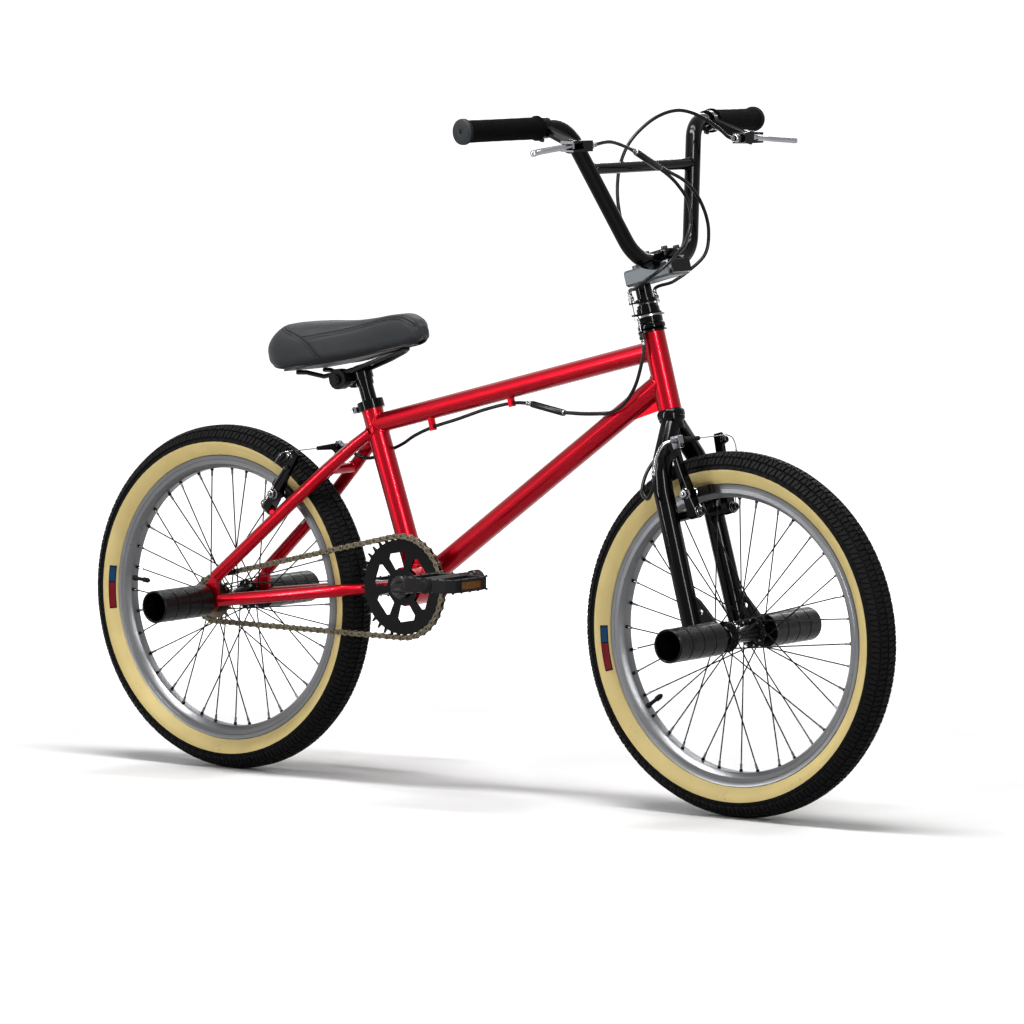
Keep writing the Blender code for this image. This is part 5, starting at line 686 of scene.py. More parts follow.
def makeRim(title, centre):
    top, half, floor = rimSize["radius"], rimSize["half"], rimSize["radius"] - rimSize["depth"]
    track, floorHalf = top - rimSize["trackDepth"], rimSize["floorHalf"]
    side = [(top - 0.0010, half - 0.0028), (top - 0.0003, half - 0.0022), (top, half - 0.0010), (top - 0.0008, half),
            (top - 0.0018, half - 0.0003), (top - 0.0065, half - 0.0004), (top - 0.0068, half - 0.0008),
            (top - 0.0072, half - 0.0004), (track, half - 0.0003), (track - 0.0012, half - 0.0012),
            (floor + 0.0012, floorHalf + 0.0008), (floor, floorHalf - 0.001), (floor - 0.0003, 0.003)]
    inner = [(floor + 0.0025, 0.0), (floor + 0.0030, 0.0065), (top - 0.004, half - 0.0042)]
    outline = np.array(side + [(r, -y) for r, y in side[::-1]] + [(r, -y) for r, y in inner[::-1]] + inner[1:])
    # The valve points at the axle: a flared foot, a plain stem and a ribbed cap
    angle = math.radians(valveSize[title])
    inward = -np.array([math.cos(angle), 0, math.sin(angle)])
    start = np.asarray(centre) - inward * floor
    length, stem, foot, cap = (valveSize[key] for key in ("length", "stem", "foot", "cap"))
    bare = length - valveSize["capLength"]
    plain = turned([(0, -0.002), (foot, -0.002), (foot, 0.001), (stem + 0.0004, 0.004), (stem, 0.008), (stem, bare),
                    (0, bare)], start, inward, 20)
    ribs = 1 + 0.06 * np.sign(np.sin(np.arange(32) * np.pi / 2 + 0.7))
    ribbed = turned([(0, bare - 0.0005), (cap, bare - 0.0005), (cap, length - 0.0035), (cap * 0.72, length - 0.0015),
                     (cap * 0.5, length), (0, length)], start, inward, 32, swell=ribs)
    parts = clad(title + "Alloy", turned(outline, centre, sideways, 180, closed=True))
    parts += clad("rubberBlack", plain, ribbed)
    piece(title + "_rim_dress", parts, title + "_wheel", [title + "_rim"], 28)


def makeHub(title, centre):
    # Spoke k leaves the rim every ten degrees and its hub hole lies three crossings ahead or behind
    right, left = hubSize[title]
    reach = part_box(title + "_hub")[1].y
    shell, wide, f = (hubSize[key] for key in ("shell", "flange", "flangeHalf"))
    rims = [(0.0205, f), (wide, f * 0.5), (wide, -f * 0.5), (0.0205, -f)]
    profile = [(0.0098, reach), (0.0128, reach - 0.0006), (0.0132, left + f + 0.0042), (0.0150, left + f + 0.0022)]
    profile += [(r, left + y) for r, y in rims]
    profile += [(0.0148, left - f - 0.0018), (shell, left - f - 0.0060), (shell - 0.0009, 0.004),
                (shell - 0.0009, -0.004), (shell, right + f + 0.0060), (0.0148, right + f + 0.0018)]
    profile += [(r, right + y) for r, y in rims]
    profile += [(0.0150, right - f - 0.0022), (0.0132, right - f - 0.0042), (0.0128, -reach + 0.0006), (0.0098, -reach)]
    k, spokes = np.arange(hubSize["spokes"]), hubSize["spokes"]
    atLeft, leading = k % 2 == 1, (k // 2) % 2 == 0
    rimAngle = 2 * np.pi * k / spokes
    lean = hubSize["crossings"] * 4 * np.pi / spokes
    hubAngle = rimAngle + np.where(leading, lean, -lean)
    flange = np.where(atLeft, left, right)
    outer = np.where(leading, f + 0.0006, -f - 0.0006)

    def around(angle, radius, height):
        return np.stack([radius * np.cos(angle), height, -radius * np.sin(angle)], -1) + centre

    circle, spoke, stagger = (hubSize[key] for key in ("spokeCircle", "spoke", "rimStagger"))
    start = around(hubAngle, circle, flange + outer)
    rimRadius = rimSize["radius"] - rimSize["depth"]
    end = around(rimAngle, rimRadius + 0.001, np.where(atLeft, stagger, -stagger))
    headIn = around(hubAngle, circle, flange - outer * 1.5)
    nipple = unit(start - end) * hubSize["nippleLength"]
    parts = clad("glossBlack", turned(profile, centre, sideways, 56, closed=True))
    parts += clad("spokeBlack", rods(start, end, spoke, 8), rods(start + (start - end) * 0.004, headIn, spoke, 8))
    parts += clad("brightSteel", rods(headIn, headIn + (headIn - start) * 0.25, 0.0017, 8))
    parts += clad("spokeBlack", rods(end, end + nipple * 0.35, 0.0024, 8))
    parts += clad("brightSteel", rods(end + nipple * 0.35, end + nipple, 0.0017, 8))
    piece(title + "_hub_dress", parts, title + "_wheel", [title + "_hub"])


for title, centre in wheelPlaces:
    makeTyre(title, centre)
    makeRim(title, centre)
    makeHub(title, centre)
print("wheels made")


pegSize = {"radius": 0.0235, "length": 0.108, "wall": 0.003, "endWall": 0.010, "groove": 0.0010, "band": 0.027,
           "bore": 0.0072}


def makePeg(title, centre, body, side, sign):
    # A sleeve with three round grooves, turned fine rings between them, and a deep open end
    low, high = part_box(f"{title}_peg_{side}")
    start = min(abs(low.y), abs(high.y))
    tip, outer, bore = start + pegSize["length"], pegSize["radius"], pegSize["bore"]
    inner, floor, groove = outer - pegSize["wall"], start + pegSize["endWall"], outer - pegSize["groove"]
    profile = [(outer - 0.0010, tip), (outer, tip - 0.0012)]
    for number in (1, 2, 3):
        middle = tip - number * pegSize["band"]
        profile += [(outer, middle + 0.0011), (groove, middle + 0.0005), (groove, middle - 0.0005),
                    (outer, middle - 0.0011)]
    profile += [(outer, start + 0.001), (outer - 0.001, start), (bore, start), (bore, floor), (inner, floor),
                (inner, tip - 0.0006), (inner + 0.0006, tip)]
    parts = clad("pegBlack", turned(profile, centre, sideways * sign, 72, closed=True))
    piece(f"{title}_peg_{side}_turned", parts, body, [f"{title}_peg_{side}"], 30)


for title, centre, body in (("front", frontAxle, "steering"), ("rear", rearAxle, "frame")):
    for side, sign in sides:
        makePeg(title, centre, body, side, sign)
print("pegs made")


barSize = {"radius": 0.0111, "half": 0.339, "bendFromEnd": 0.190, "footSide": 0.062, "topX": 0.2765,
           "topHeight": 0.952, "sweep": 0.0315, "drop": 0.002, "topBend": 0.042, "footBend": 0.055,
           "centreAlong": 0.526, "reach": 0.044, "braceRadius": 0.008, "braceShare": 0.69}
gripSize = {"length": 0.140, "radius": 0.0153, "flange": 0.0178, "bore": 0.0113, "hole": 0.0030}


def barPlaces():
    # The left side's corners from the bar's end down to its foot beside the clamp
    s = barSize
    end = np.array([s["topX"] - s["sweep"], s["half"], s["topHeight"] - s["drop"]])
    bend = np.array([s["topX"], s["half"] - s["bendFromEnd"], s["topHeight"]])
    return end, bend, headPoint(s["centreAlong"], s["reach"], s["footSide"])


def makeBars():
    radius, topBend, footBend, thin = (barSize[key] for key in ("radius", "topBend", "footBend", "braceRadius"))
    end, bend, foot = barPlaces()
    corners = [mirror(end), mirror(bend), mirror(foot), foot, bend, end]
    path = bentPath(corners, (topBend, footBend, footBend, topBend))
    brace = foot + (bend - foot) * barSize["braceShare"]
    parts = clad("glossBlack", tube(path, radius, 32), rods(mirror(brace), brace, thin, 28))
    for sign, ending in ((1, brace), (-1, mirror(brace))):
        leg = unit((bend - foot) * [1, sign, 1])
        ring = seamRing(ending * [1, 0, 1], sideways * sign, thin, ending, leg, radius)
        parts += clad("glossBlack", bead(ring, sideways))
    piece("handlebar_tube", parts, "steering", ["handlebar"], 40)


def makeGrip(side, sign):
    # A waisted foam sleeve with a rim at its inner end, then a rubber cap with a drilled face
    length, radius, flange, bore, hole = (gripSize[key] for key in ("length", "radius", "flange", "bore", "hole"))
    end, bend, _ = (point * [1, sign, 1] for point in barPlaces())
    outward = unit(end - bend)
    start = end - outward * length
    foam = [(bore, 0), (flange - 0.0012, 0), (flange - 0.0006, 0.0012), (flange - 0.0006, 0.0034),
            (radius + 0.0006, 0.0052)]
    foam += [(radius - 0.0003 * math.sin(math.pi * value / length) + 0.0001 * math.sin(value * 900), value)
             for value in np.linspace(0.007, length - 0.0085, 24)]
    foam += [(radius + 0.0004, length - 0.0065), (bore, length - 0.0065)]
    cap = [(bore, length - 0.0064), (radius + 0.0008, length - 0.0064), (flange, length - 0.0042),
           (flange, length - 0.0008)]
    face = [(flange, length - 0.0008), (flange - 0.0006, length + 0.0012), (flange - 0.0022, length + 0.0024),
            (hole + 0.001, length + 0.0028), (hole, length + 0.0024), (hole, length + 0.0004), (0, length + 0.0004)]
    parts = clad("gripFoam", turned(foam, start, outward, 56, closed=True))
    parts += clad("rubberBlack", turned(cap, start, outward, 56)) + clad("gripEnd", turned(face, start, outward, 56))
    made = piece(f"grip_{side}_foam", parts, "steering", [f"grip_{side}"], 50)


makeBars()
for side, sign in sides:
    makeGrip(side, sign)
print("handlebar and grips made")


saddle = {"tilt": 12, "bolt": (-0.23236, 0.0, 0.58179), "rows": 190, "around": 150, "rear": -0.092, "length": 0.2445,
          "inset": 0.0088, "ceiling": 0.0306, "wide": 0.62, "over": 0.78, "under": 0.45, "groove": 0.0009,
          "grooveWidth": 0.0015, "stitch": 0.0024, "stitchPitch": 0.0034, "stitchRadius": 0.00038,
          "stitchAside": 0.0023, "piping": 0.0016, "pipingSteps": 220, "fill": 0.9}
saddleSections = np.array([  # ahead of the clamp bolt, then top, bottom and half width
    (-0.092, 0.064, 0.047, 0.050), (-0.086, 0.080, 0.034, 0.064), (-0.065, 0.0925, 0.0240, 0.0745),
    (-0.029, 0.0900, 0.0200, 0.0740), (0.005, 0.0840, 0.0200, 0.0620), (0.041, 0.0785, 0.0215, 0.0440),
    (0.077, 0.0755, 0.0235, 0.0310), (0.111, 0.0740, 0.0245, 0.0260), (0.135, 0.0700, 0.0255, 0.0230),
    (0.147, 0.0610, 0.0290, 0.0180), (0.1525, 0.0490, 0.0350, 0.0100)])
saddleSeams = {  # ahead of the bolt, then degrees round from the side towards the top
    "rear": [(-0.0665, 90), (-0.0650, 75), (-0.0600, 60), (-0.0516, 46), (-0.0344, 34), (-0.0191, 20),
             (-0.0056, 2), (0.0036, -12), (0.0085, -26)],
    "side": [(-0.0191, 20), (0.0091, 25), (0.0355, 30), (0.0538, 35), (0.0735, 40), (0.0918, 47), (0.1080, 51),
             (0.1225, 49), (0.1347, 42), (0.1439, 35), (0.1500, 24)]}
saddleTilt = math.radians(saddle["tilt"])
saddleRise = np.array([-math.sin(saddleTilt), 0, math.cos(saddleTilt)])
saddleAhead = np.array([math.cos(saddleTilt), 0, math.sin(saddleTilt)])


def saddleSkin(run, degrees):
    # Aside is half * cos^wide and the height is middle + rise * sin^over above the side, or sin^under below it
    smooth = smoothThrough(saddleSections, 400)
    top, bottom, half = (np.interp(run, smooth[:, 0], smooth[:, k]) for k in (1, 2, 3))
    angle = np.radians(degrees)
    middle = bottom + 0.4 * (top - bottom)
    aside = half * np.sign(np.cos(angle)) * np.abs(np.cos(angle)) ** saddle["wide"]
    lift = np.sin(angle)
    height = middle + np.where(lift > 0, (top - middle) * np.abs(lift) ** saddle["over"],
                               -(middle - bottom) * np.abs(lift) ** saddle["under"])
    run, height, aside = (np.asarray(value)[..., None] for value in (run, height, aside))
    return np.asarray(saddle["bolt"]) + run * saddleAhead + height * saddleRise + aside * sideways, half


def seamLine(points):
    # A seam's table as an even line on the skin; degrees are scaled down to count beside metres
    line = smoothThrough(np.array(points) * [1, 0.0012], 220) / [1, 0.0012]
    return saddleSkin(line[:, 0], line[:, 1])[0]


def underLip(ring):
    # Underneath, the skin turns in round the pan's edge and up to the recess
    right, left = ring[-1], ring[0]
    lift = np.maximum(saddle["ceiling"] - (ring[[0, -1]] - saddle["bolt"]) @ saddleRise, 0.0)
    inward = unit((right + left) / 2 - right)
    return np.concatenate([ring, [
        right + inward * 0.0006 - saddleRise * 0.0002, right + inward * 0.0011 + saddleRise * lift[1],
        left - inward * 0.0011 + saddleRise * lift[0], left - inward * 0.0006 - saddleRise * 0.0002]])


def makeSaddle():
    s, share = saddle, np.linspace(0, 1, saddle["rows"])
    run = s["rear"] + s["length"] * (share - np.sin(2 * np.pi * share) / (2 * np.pi) * 0.62)
    half = saddleSkin(run, 0.0 * run)[1]
    # Each row starts at the angle below the side at which the cover reaches the edge of its pan
    edge = -np.degrees(np.arccos(np.clip(1 - s["inset"] / half, 0.02, 1) ** (1 / s["wide"])))[:, None]
    degrees = edge + (180 - 2 * edge) * np.linspace(0, 1, s["around"])[None]
    skin, _ = saddleSkin(np.broadcast_to(run[:, None], degrees.shape), degrees)
    # Grooves along the seams, and the foam standing a little proud on either side of them
    rearSeam, sideSeam = (seamLine(saddleSeams[key]) for key in ("rear", "side"))
    seams = [rearSeam, mirror(rearSeam), sideSeam, mirror(sideSeam)]
    flat, line = skin.reshape(-1, 3), np.concatenate(seams)
    squares = (flat**2).sum(1)[:, None] - 2 * flat @ line.T + (line**2).sum(1)[None]
    away = np.sqrt(np.maximum(squares, 0).min(1)).reshape(degrees.shape)
    normal = unit(np.cross(np.gradient(skin, axis=1), np.gradient(skin, axis=0)))
    normal = normal * np.sign(normal[s["rows"] // 2, s["around"] // 2, 2])
    depth = -s["groove"] * np.exp(-(away / s["grooveWidth"]) ** 2) - 0.0003
    depth = depth + 0.0003 * np.exp(-((away - 0.007) / 0.004) ** 2)
    body = skin + normal * depth[..., None]
    rings = np.array([underLip(ring) for ring in body])
    # The rear and the nose are closed by rings drawn in towards their middles
    middles = rings.mean(1, keepdims=True)
    rear, nose = ([middles[k] + (rings[k] - middles[k]) * value for value in shares]
                  for k, shares in ((0, (0.02, 0.5, 0.85)), (-1, (0.85, 0.5, 0.02))))
    grid = np.concatenate([rear, rings, nose])
    parts = clad("saddleVinyl", (grid.reshape(-1, 3), cappedFaces(*grid.shape[:2])))
    # A row of stitches on either side of every seam
    for seam in seams:
        steps = runAlong(seam)
        along = np.arange(0.002, steps[-1] - 0.004, s["stitchPitch"])
        start, end = (readAt(seam, steps, along + extra) for extra in (0, s["stitch"]))
        out = normal.reshape(-1, 3)[np.argmin(((flat[None] - start[:, None]) ** 2).sum(-1), axis=1)]
        across = unit(np.cross(out, end - start))
        for aside in (-s["stitchAside"], s["stitchAside"]):
            shift = across * aside + out * 0.0001
            parts += clad("stitchThread", rods(start + shift, end + shift, s["stitchRadius"], 5))
    # Piping along the cover's lower edge, all the way round
    loop = np.concatenate([body[:, -1], body[::-1, 0]])
    loop = np.concatenate([loop, loop[:1]])
    steps = runAlong(loop)
    loop = readAt(loop, steps, np.linspace(0, steps[-1], s["pipingSteps"] + 1)[:-1])
    loop = (np.roll(loop, 1, 0) + loop * 2 + np.roll(loop, -1, 0)) / 4
    parts += clad("pipingVinyl", loopTube(loop, s["piping"], saddleRise))
    made = piece("saddle_cushion", parts, "saddle", ["saddle_cover"], 50)


makeSaddle()
print("saddle made")


# Each brake's frame: the middle between its pivots, the way up its arms and the way out from the tyre
stayUp, stayOut = np.array([0.608761, 0.0, 0.793353]), np.array([-0.793353, 0.0, 0.608761])
brakeFrames = {"front": (headPoint(0.175, 0.032), steerUp, steerAhead),
               "rear": (rearAxle + 0.175 * stayUp, stayUp, stayOut)}
cableSize = {"housing": 0.0025, "noodle": 0.0027, "wire": 0.0008, "ferrule": 0.0032, "ferruleLength": 0.0085,
             "splitter": 0.0046, "splitterEnd": 0.0024, "boot": 0.0048, "bootEnds": (0.042, 0.006), "folds": 7,
             "noodleTip": 0.0587, "wireEnd": 0.0615, "wireHeight": 0.101, "wireOut": 0.0092}


def brakePoint(place, aside, up, out):
    origin, upward, outward = brakeFrames[place]
    return origin + aside * sideways + up * upward + out * outward


def ferrule(start, ahead):
    # A crimped metal end: a short sleeve with a lip and one groove, from the given end along the housing
    r, length = cableSize["ferrule"], cableSize["ferruleLength"]
    profile = [(0.0012, -0.0008), (r - 0.0007, -0.0008), (r, 0), (r, length * 0.4), (r - 0.0004, length * 0.45),
               (r - 0.0004, length * 0.6), (r, length * 0.65), (r, length - 0.0005), (r - 0.0005, length),
               (0.0012, length)]
    return turned(profile, start, ahead - start, 16, closed=True)


def housing(points, count, ends=(0, -1)):
    # A smooth round outer casing with a ferrule at each end that is asked for
    path = smoothThrough(points, count)
    parts = clad("cableBlack", tube(path, cableSize["housing"], 14))
    return parts + clad("brightSteel", *(ferrule(path[end], path[-3 if end else 2]) for end in ends))


def splitter(start, end):
    # A black sleeve between two bright ends, where one cable becomes two
    length, r, tip = float(np.linalg.norm(end - start)), cableSize["splitter"], cableSize["splitterEnd"]
    sleeve = [(0, tip), (r, tip), (r + 0.0003, tip + 0.001), (r + 0.0003, length - tip - 0.001), (r, length - tip),
              (0, length - tip)]
    cap = [(0, 0), (r - 0.0012, 0), (r - 0.0002, 0.0008), (r, 0.0016), (r, tip), (0, tip)]
    return clad("cableBlack", turned(sleeve, start, end - start, 22)) + clad(
        "brightSteel", turned(cap, start, end - start, 22), turned(cap, end, start - end, 22))


def barrel(centre, axis, radius, height, ribs=14):
    # A knurled adjuster with a plain waist and a thin lock ring
    waist = radius * 0.72
    profile = [(0.0010, 0), (radius, 0), (radius, height * 0.22), (waist, height * 0.26), (waist, height * 0.38),
               (radius, height * 0.42), (radius, height * 0.92), (radius * 0.85, height), (0.0010, height)]
    swell = 1 + 0.05 * np.sign(np.sin(np.arange(ribs * 4) * np.pi / 2 + 0.7))
    return turned(profile, centre, axis, ribs * 4, closed=True, swell=swell)


def brakeLead(place, side, approach, start):
    # The bright curved pipe, the ribbed boot over the wire and the wire across to the other arm
    s, toward = cableSize, side * sideways

    def across(aside):
        return brakePoint(place, aside * side, s["wireHeight"], s["wireOut"])

    tip = across(s["noodleTip"])
    pipe = smoothThrough([start, *approach, tip + 0.009 * toward, tip], 48)
    near, far = s["bootEnds"]
    length = near - far
    along = np.linspace(0, length, s["folds"] * 6 + 1)
    fold = s["boot"] - 0.0016 * along / length - 0.0009 + 0.0009 * np.cos(along / length * s["folds"] * 2 * np.pi)
    boot = [(0.0010, 0.0), *zip(fold, along), (0.0010, length)]
    head = [(0, -0.0015), (0.0036, -0.0015), (0.0040, -0.001), (0.0040, 0.004), (0.0030, 0.0062), (0, 0.0062)]
    wire = rods(across(s["noodleTip"] - 0.001), across(-s["wireEnd"]), s["wire"], 8)
    parts = clad("brightSteel", tube(pipe, s["noodle"], 18))
    parts += clad("rubberBlack", turned(boot, across(near), -toward, 24, closed=True))
    return parts + clad("brightSteel", turned(head, tip, toward, 20), wire)


def makeFrontCable():
    # From the left lever over the bar, down through the stem and out below the fork's crown
    start = headPoint(0.243, 0.015, -0.087)
    outside = [(0.333, 0.1657, 0.928), (0.3325, 0.156, 0.9295), (0.325, 0.142, 0.942), (0.312, 0.112, 0.961),
               (0.302, 0.081, 0.969), (0.294, 0.0445, 0.963), (0.286, 0.013, 0.946), (0.280, -0.012, 0.923),
               (0.276, -0.025, 0.896), (0.274, -0.029, 0.862), (0.276, -0.026, 0.827), (0.2805, -0.015, 0.793)]
    inside = [(0.544,), (0.526,), (0.395,), (0.302,), (0.283, -0.005, -0.002), (0.271, -0.018, -0.012),
              (0.257, -0.027, -0.031), (0.236, -0.029, -0.055), (0.215, -0.022, -0.075), (0.207, -0.007, -0.085),
              (0.218, 0.007, -0.089)]
    parts = housing([*outside, *(headPoint(*place) for place in inside), start], 260)
    parts += brakeLead("front", -1, [headPoint(0.262, 0.024, -0.084), headPoint(0.275, 0.035, -0.076)], start)
    piece("front_cable_run", parts, "steering", ["front_brake_cable"], 45)


def makeUpperCable():
    # One housing from the right lever to its splitter, then a leg down to each side of the upper plate
    begin, end = np.array([0.332, -0.066, 0.917]), np.array([0.334, -0.011, 0.892])
    parts = housing([(0.333, -0.1657, 0.928), (0.3335, -0.125, 0.9315), (0.3335, -0.090, 0.924), begin], 50)
    parts += splitter(begin, end)
    inner = [end + (-0.001, -0.010, 0.004), end + (0.001, 0.012, -0.007), (0.337, 0.026, 0.868),
             (0.342, 0.045, 0.842), (0.346, 0.044, 0.817), (0.352, 0.028, 0.797), (0.360, 0.009, 0.785),
             (0.3615, -0.010, 0.775), (0.3605, -0.027, 0.764), (0.352, -0.043, 0.751), (0.333, -0.050, 0.737),
             (0.312, -0.041, 0.727)]
    outer = [end + (0.001, -0.010, 0.005), end + (0.002, 0.014, -0.004), (0.340, 0.040, 0.872),
             (0.3435, 0.072, 0.842), (0.3445, 0.088, 0.803), (0.341, 0.086, 0.772), (0.331, 0.062, 0.749),
             (0.315, 0.044, 0.733)]
    for leg, side in ((inner, -0.029), (outer, 0.029)):
        stop, low, wireTop, wireFoot, screw = (
            headPoint(along, -0.003, side) for along in (0.4935, 0.4868, 0.4872, 0.4598, 0.4786))
        parts += housing(leg + [stop, low], 150, (-1,))
        parts += clad("brightSteel", rods(wireTop, wireFoot, cableSize["wire"], 8),
                      barrel(screw, steerUp, 0.0040, 0.0085))
    piece("gyro_upper_run", parts, "steering", ["gyro_upper_cable"], 45)


def makeRearCable():
    # Two legs from the lower plate join at a splitter, and one housing runs on to the rear brake
    begin, end = np.array([0.162, -0.004, 0.547]), np.array([0.102, -0.004, 0.558])
    parts = splitter(begin, end)
    for side, look in ((1, "brass"), (-1, "darkSteel")):
        aside = side * 0.0225
        leg = [headPoint(0.4268, -0.003, aside), headPoint(0.416, -0.004, side * 0.023),
               (0.310, side * 0.0255, 0.620), (0.294, side * 0.0245, 0.583), (0.272, side * 0.024, 0.560),
               (0.249, side * 0.020, 0.5515), (0.226, side * 0.010 - 0.001, 0.549),
               (0.195, side * 0.0045 - 0.003, 0.5475), (0.156, -0.004 + side * 0.0012, 0.548)]
        wireTop, wireFoot, screw = (headPoint(along, -0.003, aside) for along in (0.4582, 0.426, 0.4349))
        parts += housing(leg, 90, (0,)) + clad("brightSteel", rods(wireTop, wireFoot, cableSize["wire"], 8))
        parts += clad(look, barrel(screw, -steerUp, 0.0042, 0.0085))
    start = np.array([-0.256, 0.030, 0.481])
    parts += housing([end, (0.080, -0.002, 0.5585), (0.065, 0, 0.557), (0.020, -0.001, 0.547),
                      (-0.030, -0.0035, 0.531), (-0.074, -0.004, 0.518), (-0.115, 0.004, 0.503),
                      (-0.145, 0.0165, 0.490), (-0.168, 0.0215, 0.481), (-0.188, 0.0165, 0.4705),
                      (-0.206, 0.0085, 0.467), (-0.222, 0.0075, 0.4705), (-0.240, 0.013, 0.4775), start], 170)
    parts += brakeLead("rear", 1, [(-0.271, 0.052, 0.481), (-0.281, 0.066, 0.4795)], start)
    piece("rear_cable_run", parts, "frame", ["rear_brake_cable"], 45)


makeFrontCable()
makeUpperCable()
makeRearCable()
print("cables made")


armSize = {"aside": 0.040, "padUp": 0.028, "padAside": (-0.0232, -0.0127), "padWidth": 0.0112,
           "anchor": (0.0143, 0.0947), "holder": (0.0143, 0.101), "coil": 0.0078, "spring": 0.00065}
padFace = [  # along the rim, then above the pad's face: three cuts
    (-0.0252, 0.0011), (-0.0138, -0.0001), (-0.0136, 0.0028), (-0.0128, 0.0028), (-0.0126, -0.0001),
    (-0.0006, -0.0001), (-0.0004, 0.0028), (0.0004, 0.0028), (0.0006, -0.0001), (0.0126, -0.0001), (0.0128, 0.0028),
    (0.0136, 0.0028), (0.0138, -0.0001), (0.0252, 0.0011)]
cheek = [(-0.0046, -0.0105), (0.0046, -0.0105), (0.0058, -0.002), (0.0058, 0.0062), (-0.0058, 0.0062),
         (-0.0058, -0.002)]


def makeArmHardware(place, word, side):
    # The arm with the pipe's holder is the front right one and the rear left one
    def at(aside, up, out):
        return brakePoint(place, side * (armSize["aside"] + aside), up, out)

    _, upward, outward = brakeFrames[place]
    away, padUp = side * sideways, armSize["padUp"]
    parts = clad("brightSteel", disc(at(0, 0, 0.0104), outward, 0.0072, -0.0005, 0.0007, 28))
    parts += clad("darkSteel", bolt(at(0, 0, 0.0110), outward, 0.0052, 0.0042, 24))
    # The pad's threaded post: a dished washer, a flat one and a nut on the outside of the arm
    dish = [(0, 0), (0.0064, 0), (0.0076, 0.0006), (0.0076, 0.0016), (0.0058, 0.0030), (0, 0.0030)]
    innerDish = [(0, 0), (0.0066, 0), (0.0074, 0.0008), (0.0060, 0.0030), (0, 0.0030)]
    post = at(0.0103, padUp, 0)
    parts += clad("brightSteel", turned(dish, post, away, 28))
    parts += clad("darkSteel", disc(post, away, 0.0064, 0.0030, 0.0038, 28))
    parts += clad("brightSteel", hexNut(post + away * 0.0038, away, 0.0062, 0.0050),
                  disc(post, away, 0.0028, 0.008, 0.0118, 16, highCut=0.0006),
                  turned(innerDish, at(-0.0062, padUp, 0), -away, 28))
    low, high = armSize["padAside"]
    shoe = [(run, low + depth) for run, depth in padFace]
    shoe += [(0.0254, high - 0.001), (0.0220, high + 0.0002), (-0.0220, high + 0.0002), (-0.0254, high - 0.001)]
    parts += clad("rubberBlack", plate(shoe, armSize["padWidth"], (at(0, padUp, 0), outward, away), 0.0006))
    # The return spring: one turn at the pivot, then a long wire up the outside of the arm to its screw
    coil, turns = armSize["coil"], np.linspace(0, 2 * np.pi, 25)
    wire = [at(coil * math.cos(t), coil * math.sin(t), 0.0072 + 0.0010 * t / 6.3) for t in turns]
    wire += [at(0.0125, 0.020, 0.0070), at(0.0150, 0.040, 0.0055), at(0.0175, 0.060, 0.0040), at(0.0188, 0.078, 0.0030)]
    parts += clad("brightSteel", tube(smoothThrough(wire, 90), armSize["spring"], 8))
    parts += clad("darkSteel", bolt(at(0.0150, 0.078, 0.0), away, 0.0028, 0.0050, 18))
    if (place, side) in (("front", -1), ("rear", 1)):
        # The bright stirrup that the curved pipe's tip rests in
        aside, up = armSize["holder"]
        parts += clad("brightSteel", plate(cheek, 0.0132, (at(aside, up, 0.0080), sideways, upward), 0.0005))
        parts += clad("darkSteel", bolt(at(aside, up - 0.0075, 0.0146), outward, 0.0030, 0.0022, 18))
    else:
        # The wire's clamp, and its loose end beyond it with a crimped tip
        centre = at(*armSize["anchor"], 0.0055)
        parts += clad("brightSteel", disc(centre, outward, 0.0064, 0, 0.0010),
                      disc(centre, outward, 0.0056, 0.0022, 0.0034))
        parts += clad("darkSteel", bolt(centre + outward * 0.0034, outward, 0.0046, 0.0040, 22))
        tail = smoothThrough([at(0.0205, 0.101, 0.0092), at(0.0265, 0.097, 0.0125), at(0.0280, 0.086, 0.0150),
                              at(0.0255, 0.074, 0.0155)], 16)
        parts += clad("brightSteel", tube(tail, cableSize["wire"], 8), tube(tail[[-3, -1]], 0.0013, 10))
    name = f"{place}_arm_{word}"
    piece(name + "_hardware", parts, name)


for place in ("front", "rear"):
    for word, side in sides:
        makeArmHardware(place, word, side)
print("brake hardware made")


chainSize = {"links": 82, "frontRadius": 0.07286, "rearRadius": 0.03255, "line": -0.040, "pitch": 0.0127,
             "half": 0.0042, "waist": 0.0028, "inner": 0.0027, "outer": 0.0037, "plate": 0.0010, "roller": 0.0039,
             "pin": 0.0018, "pinReach": 0.0046}


def arc(centre, out, radius, travel):
    # centre + radius * (cos a * out + sin a * onward), a being the travel over the radius
    turn, onward = travel / radius, np.array([out[2], 0, -out[0]])
    return centre + radius * (np.cos(turn) * out + np.sin(turn) * onward)


def chainPath(count):
    # Even steps along the upper run, round the front, back along the lower run and round the rear
    large, small = chainSize["frontRadius"], chainSize["rearRadius"]
    span = crankCentre - rearAxle
    length = float(np.linalg.norm(span))
    along = span / length
    above = np.array([-along[2], 0, along[0]])
    slant = math.asin((large - small) / length)
    upper, lower = (sign * above * math.cos(slant) - along * math.sin(slant) for sign in (1, -1))
    straight = length * math.cos(slant)
    front, rear = (math.pi + 2 * slant) * large, (math.pi - 2 * slant) * small
    at = (np.arange(count) * (2 * straight + front + rear) / count)[:, None]
    return chainSize["line"] * sideways + np.select(
        [at < straight, at < straight + front, at < 2 * straight + front],
        [rearAxle + small * upper + (span + upper * (large - small)) * at / straight,
         arc(crankCentre, upper, large, at - straight),
         crankCentre + large * lower - (span + lower * (large - small)) * (at - straight - front) / straight],
        arc(rearAxle, lower, small, at - 2 * straight - front))


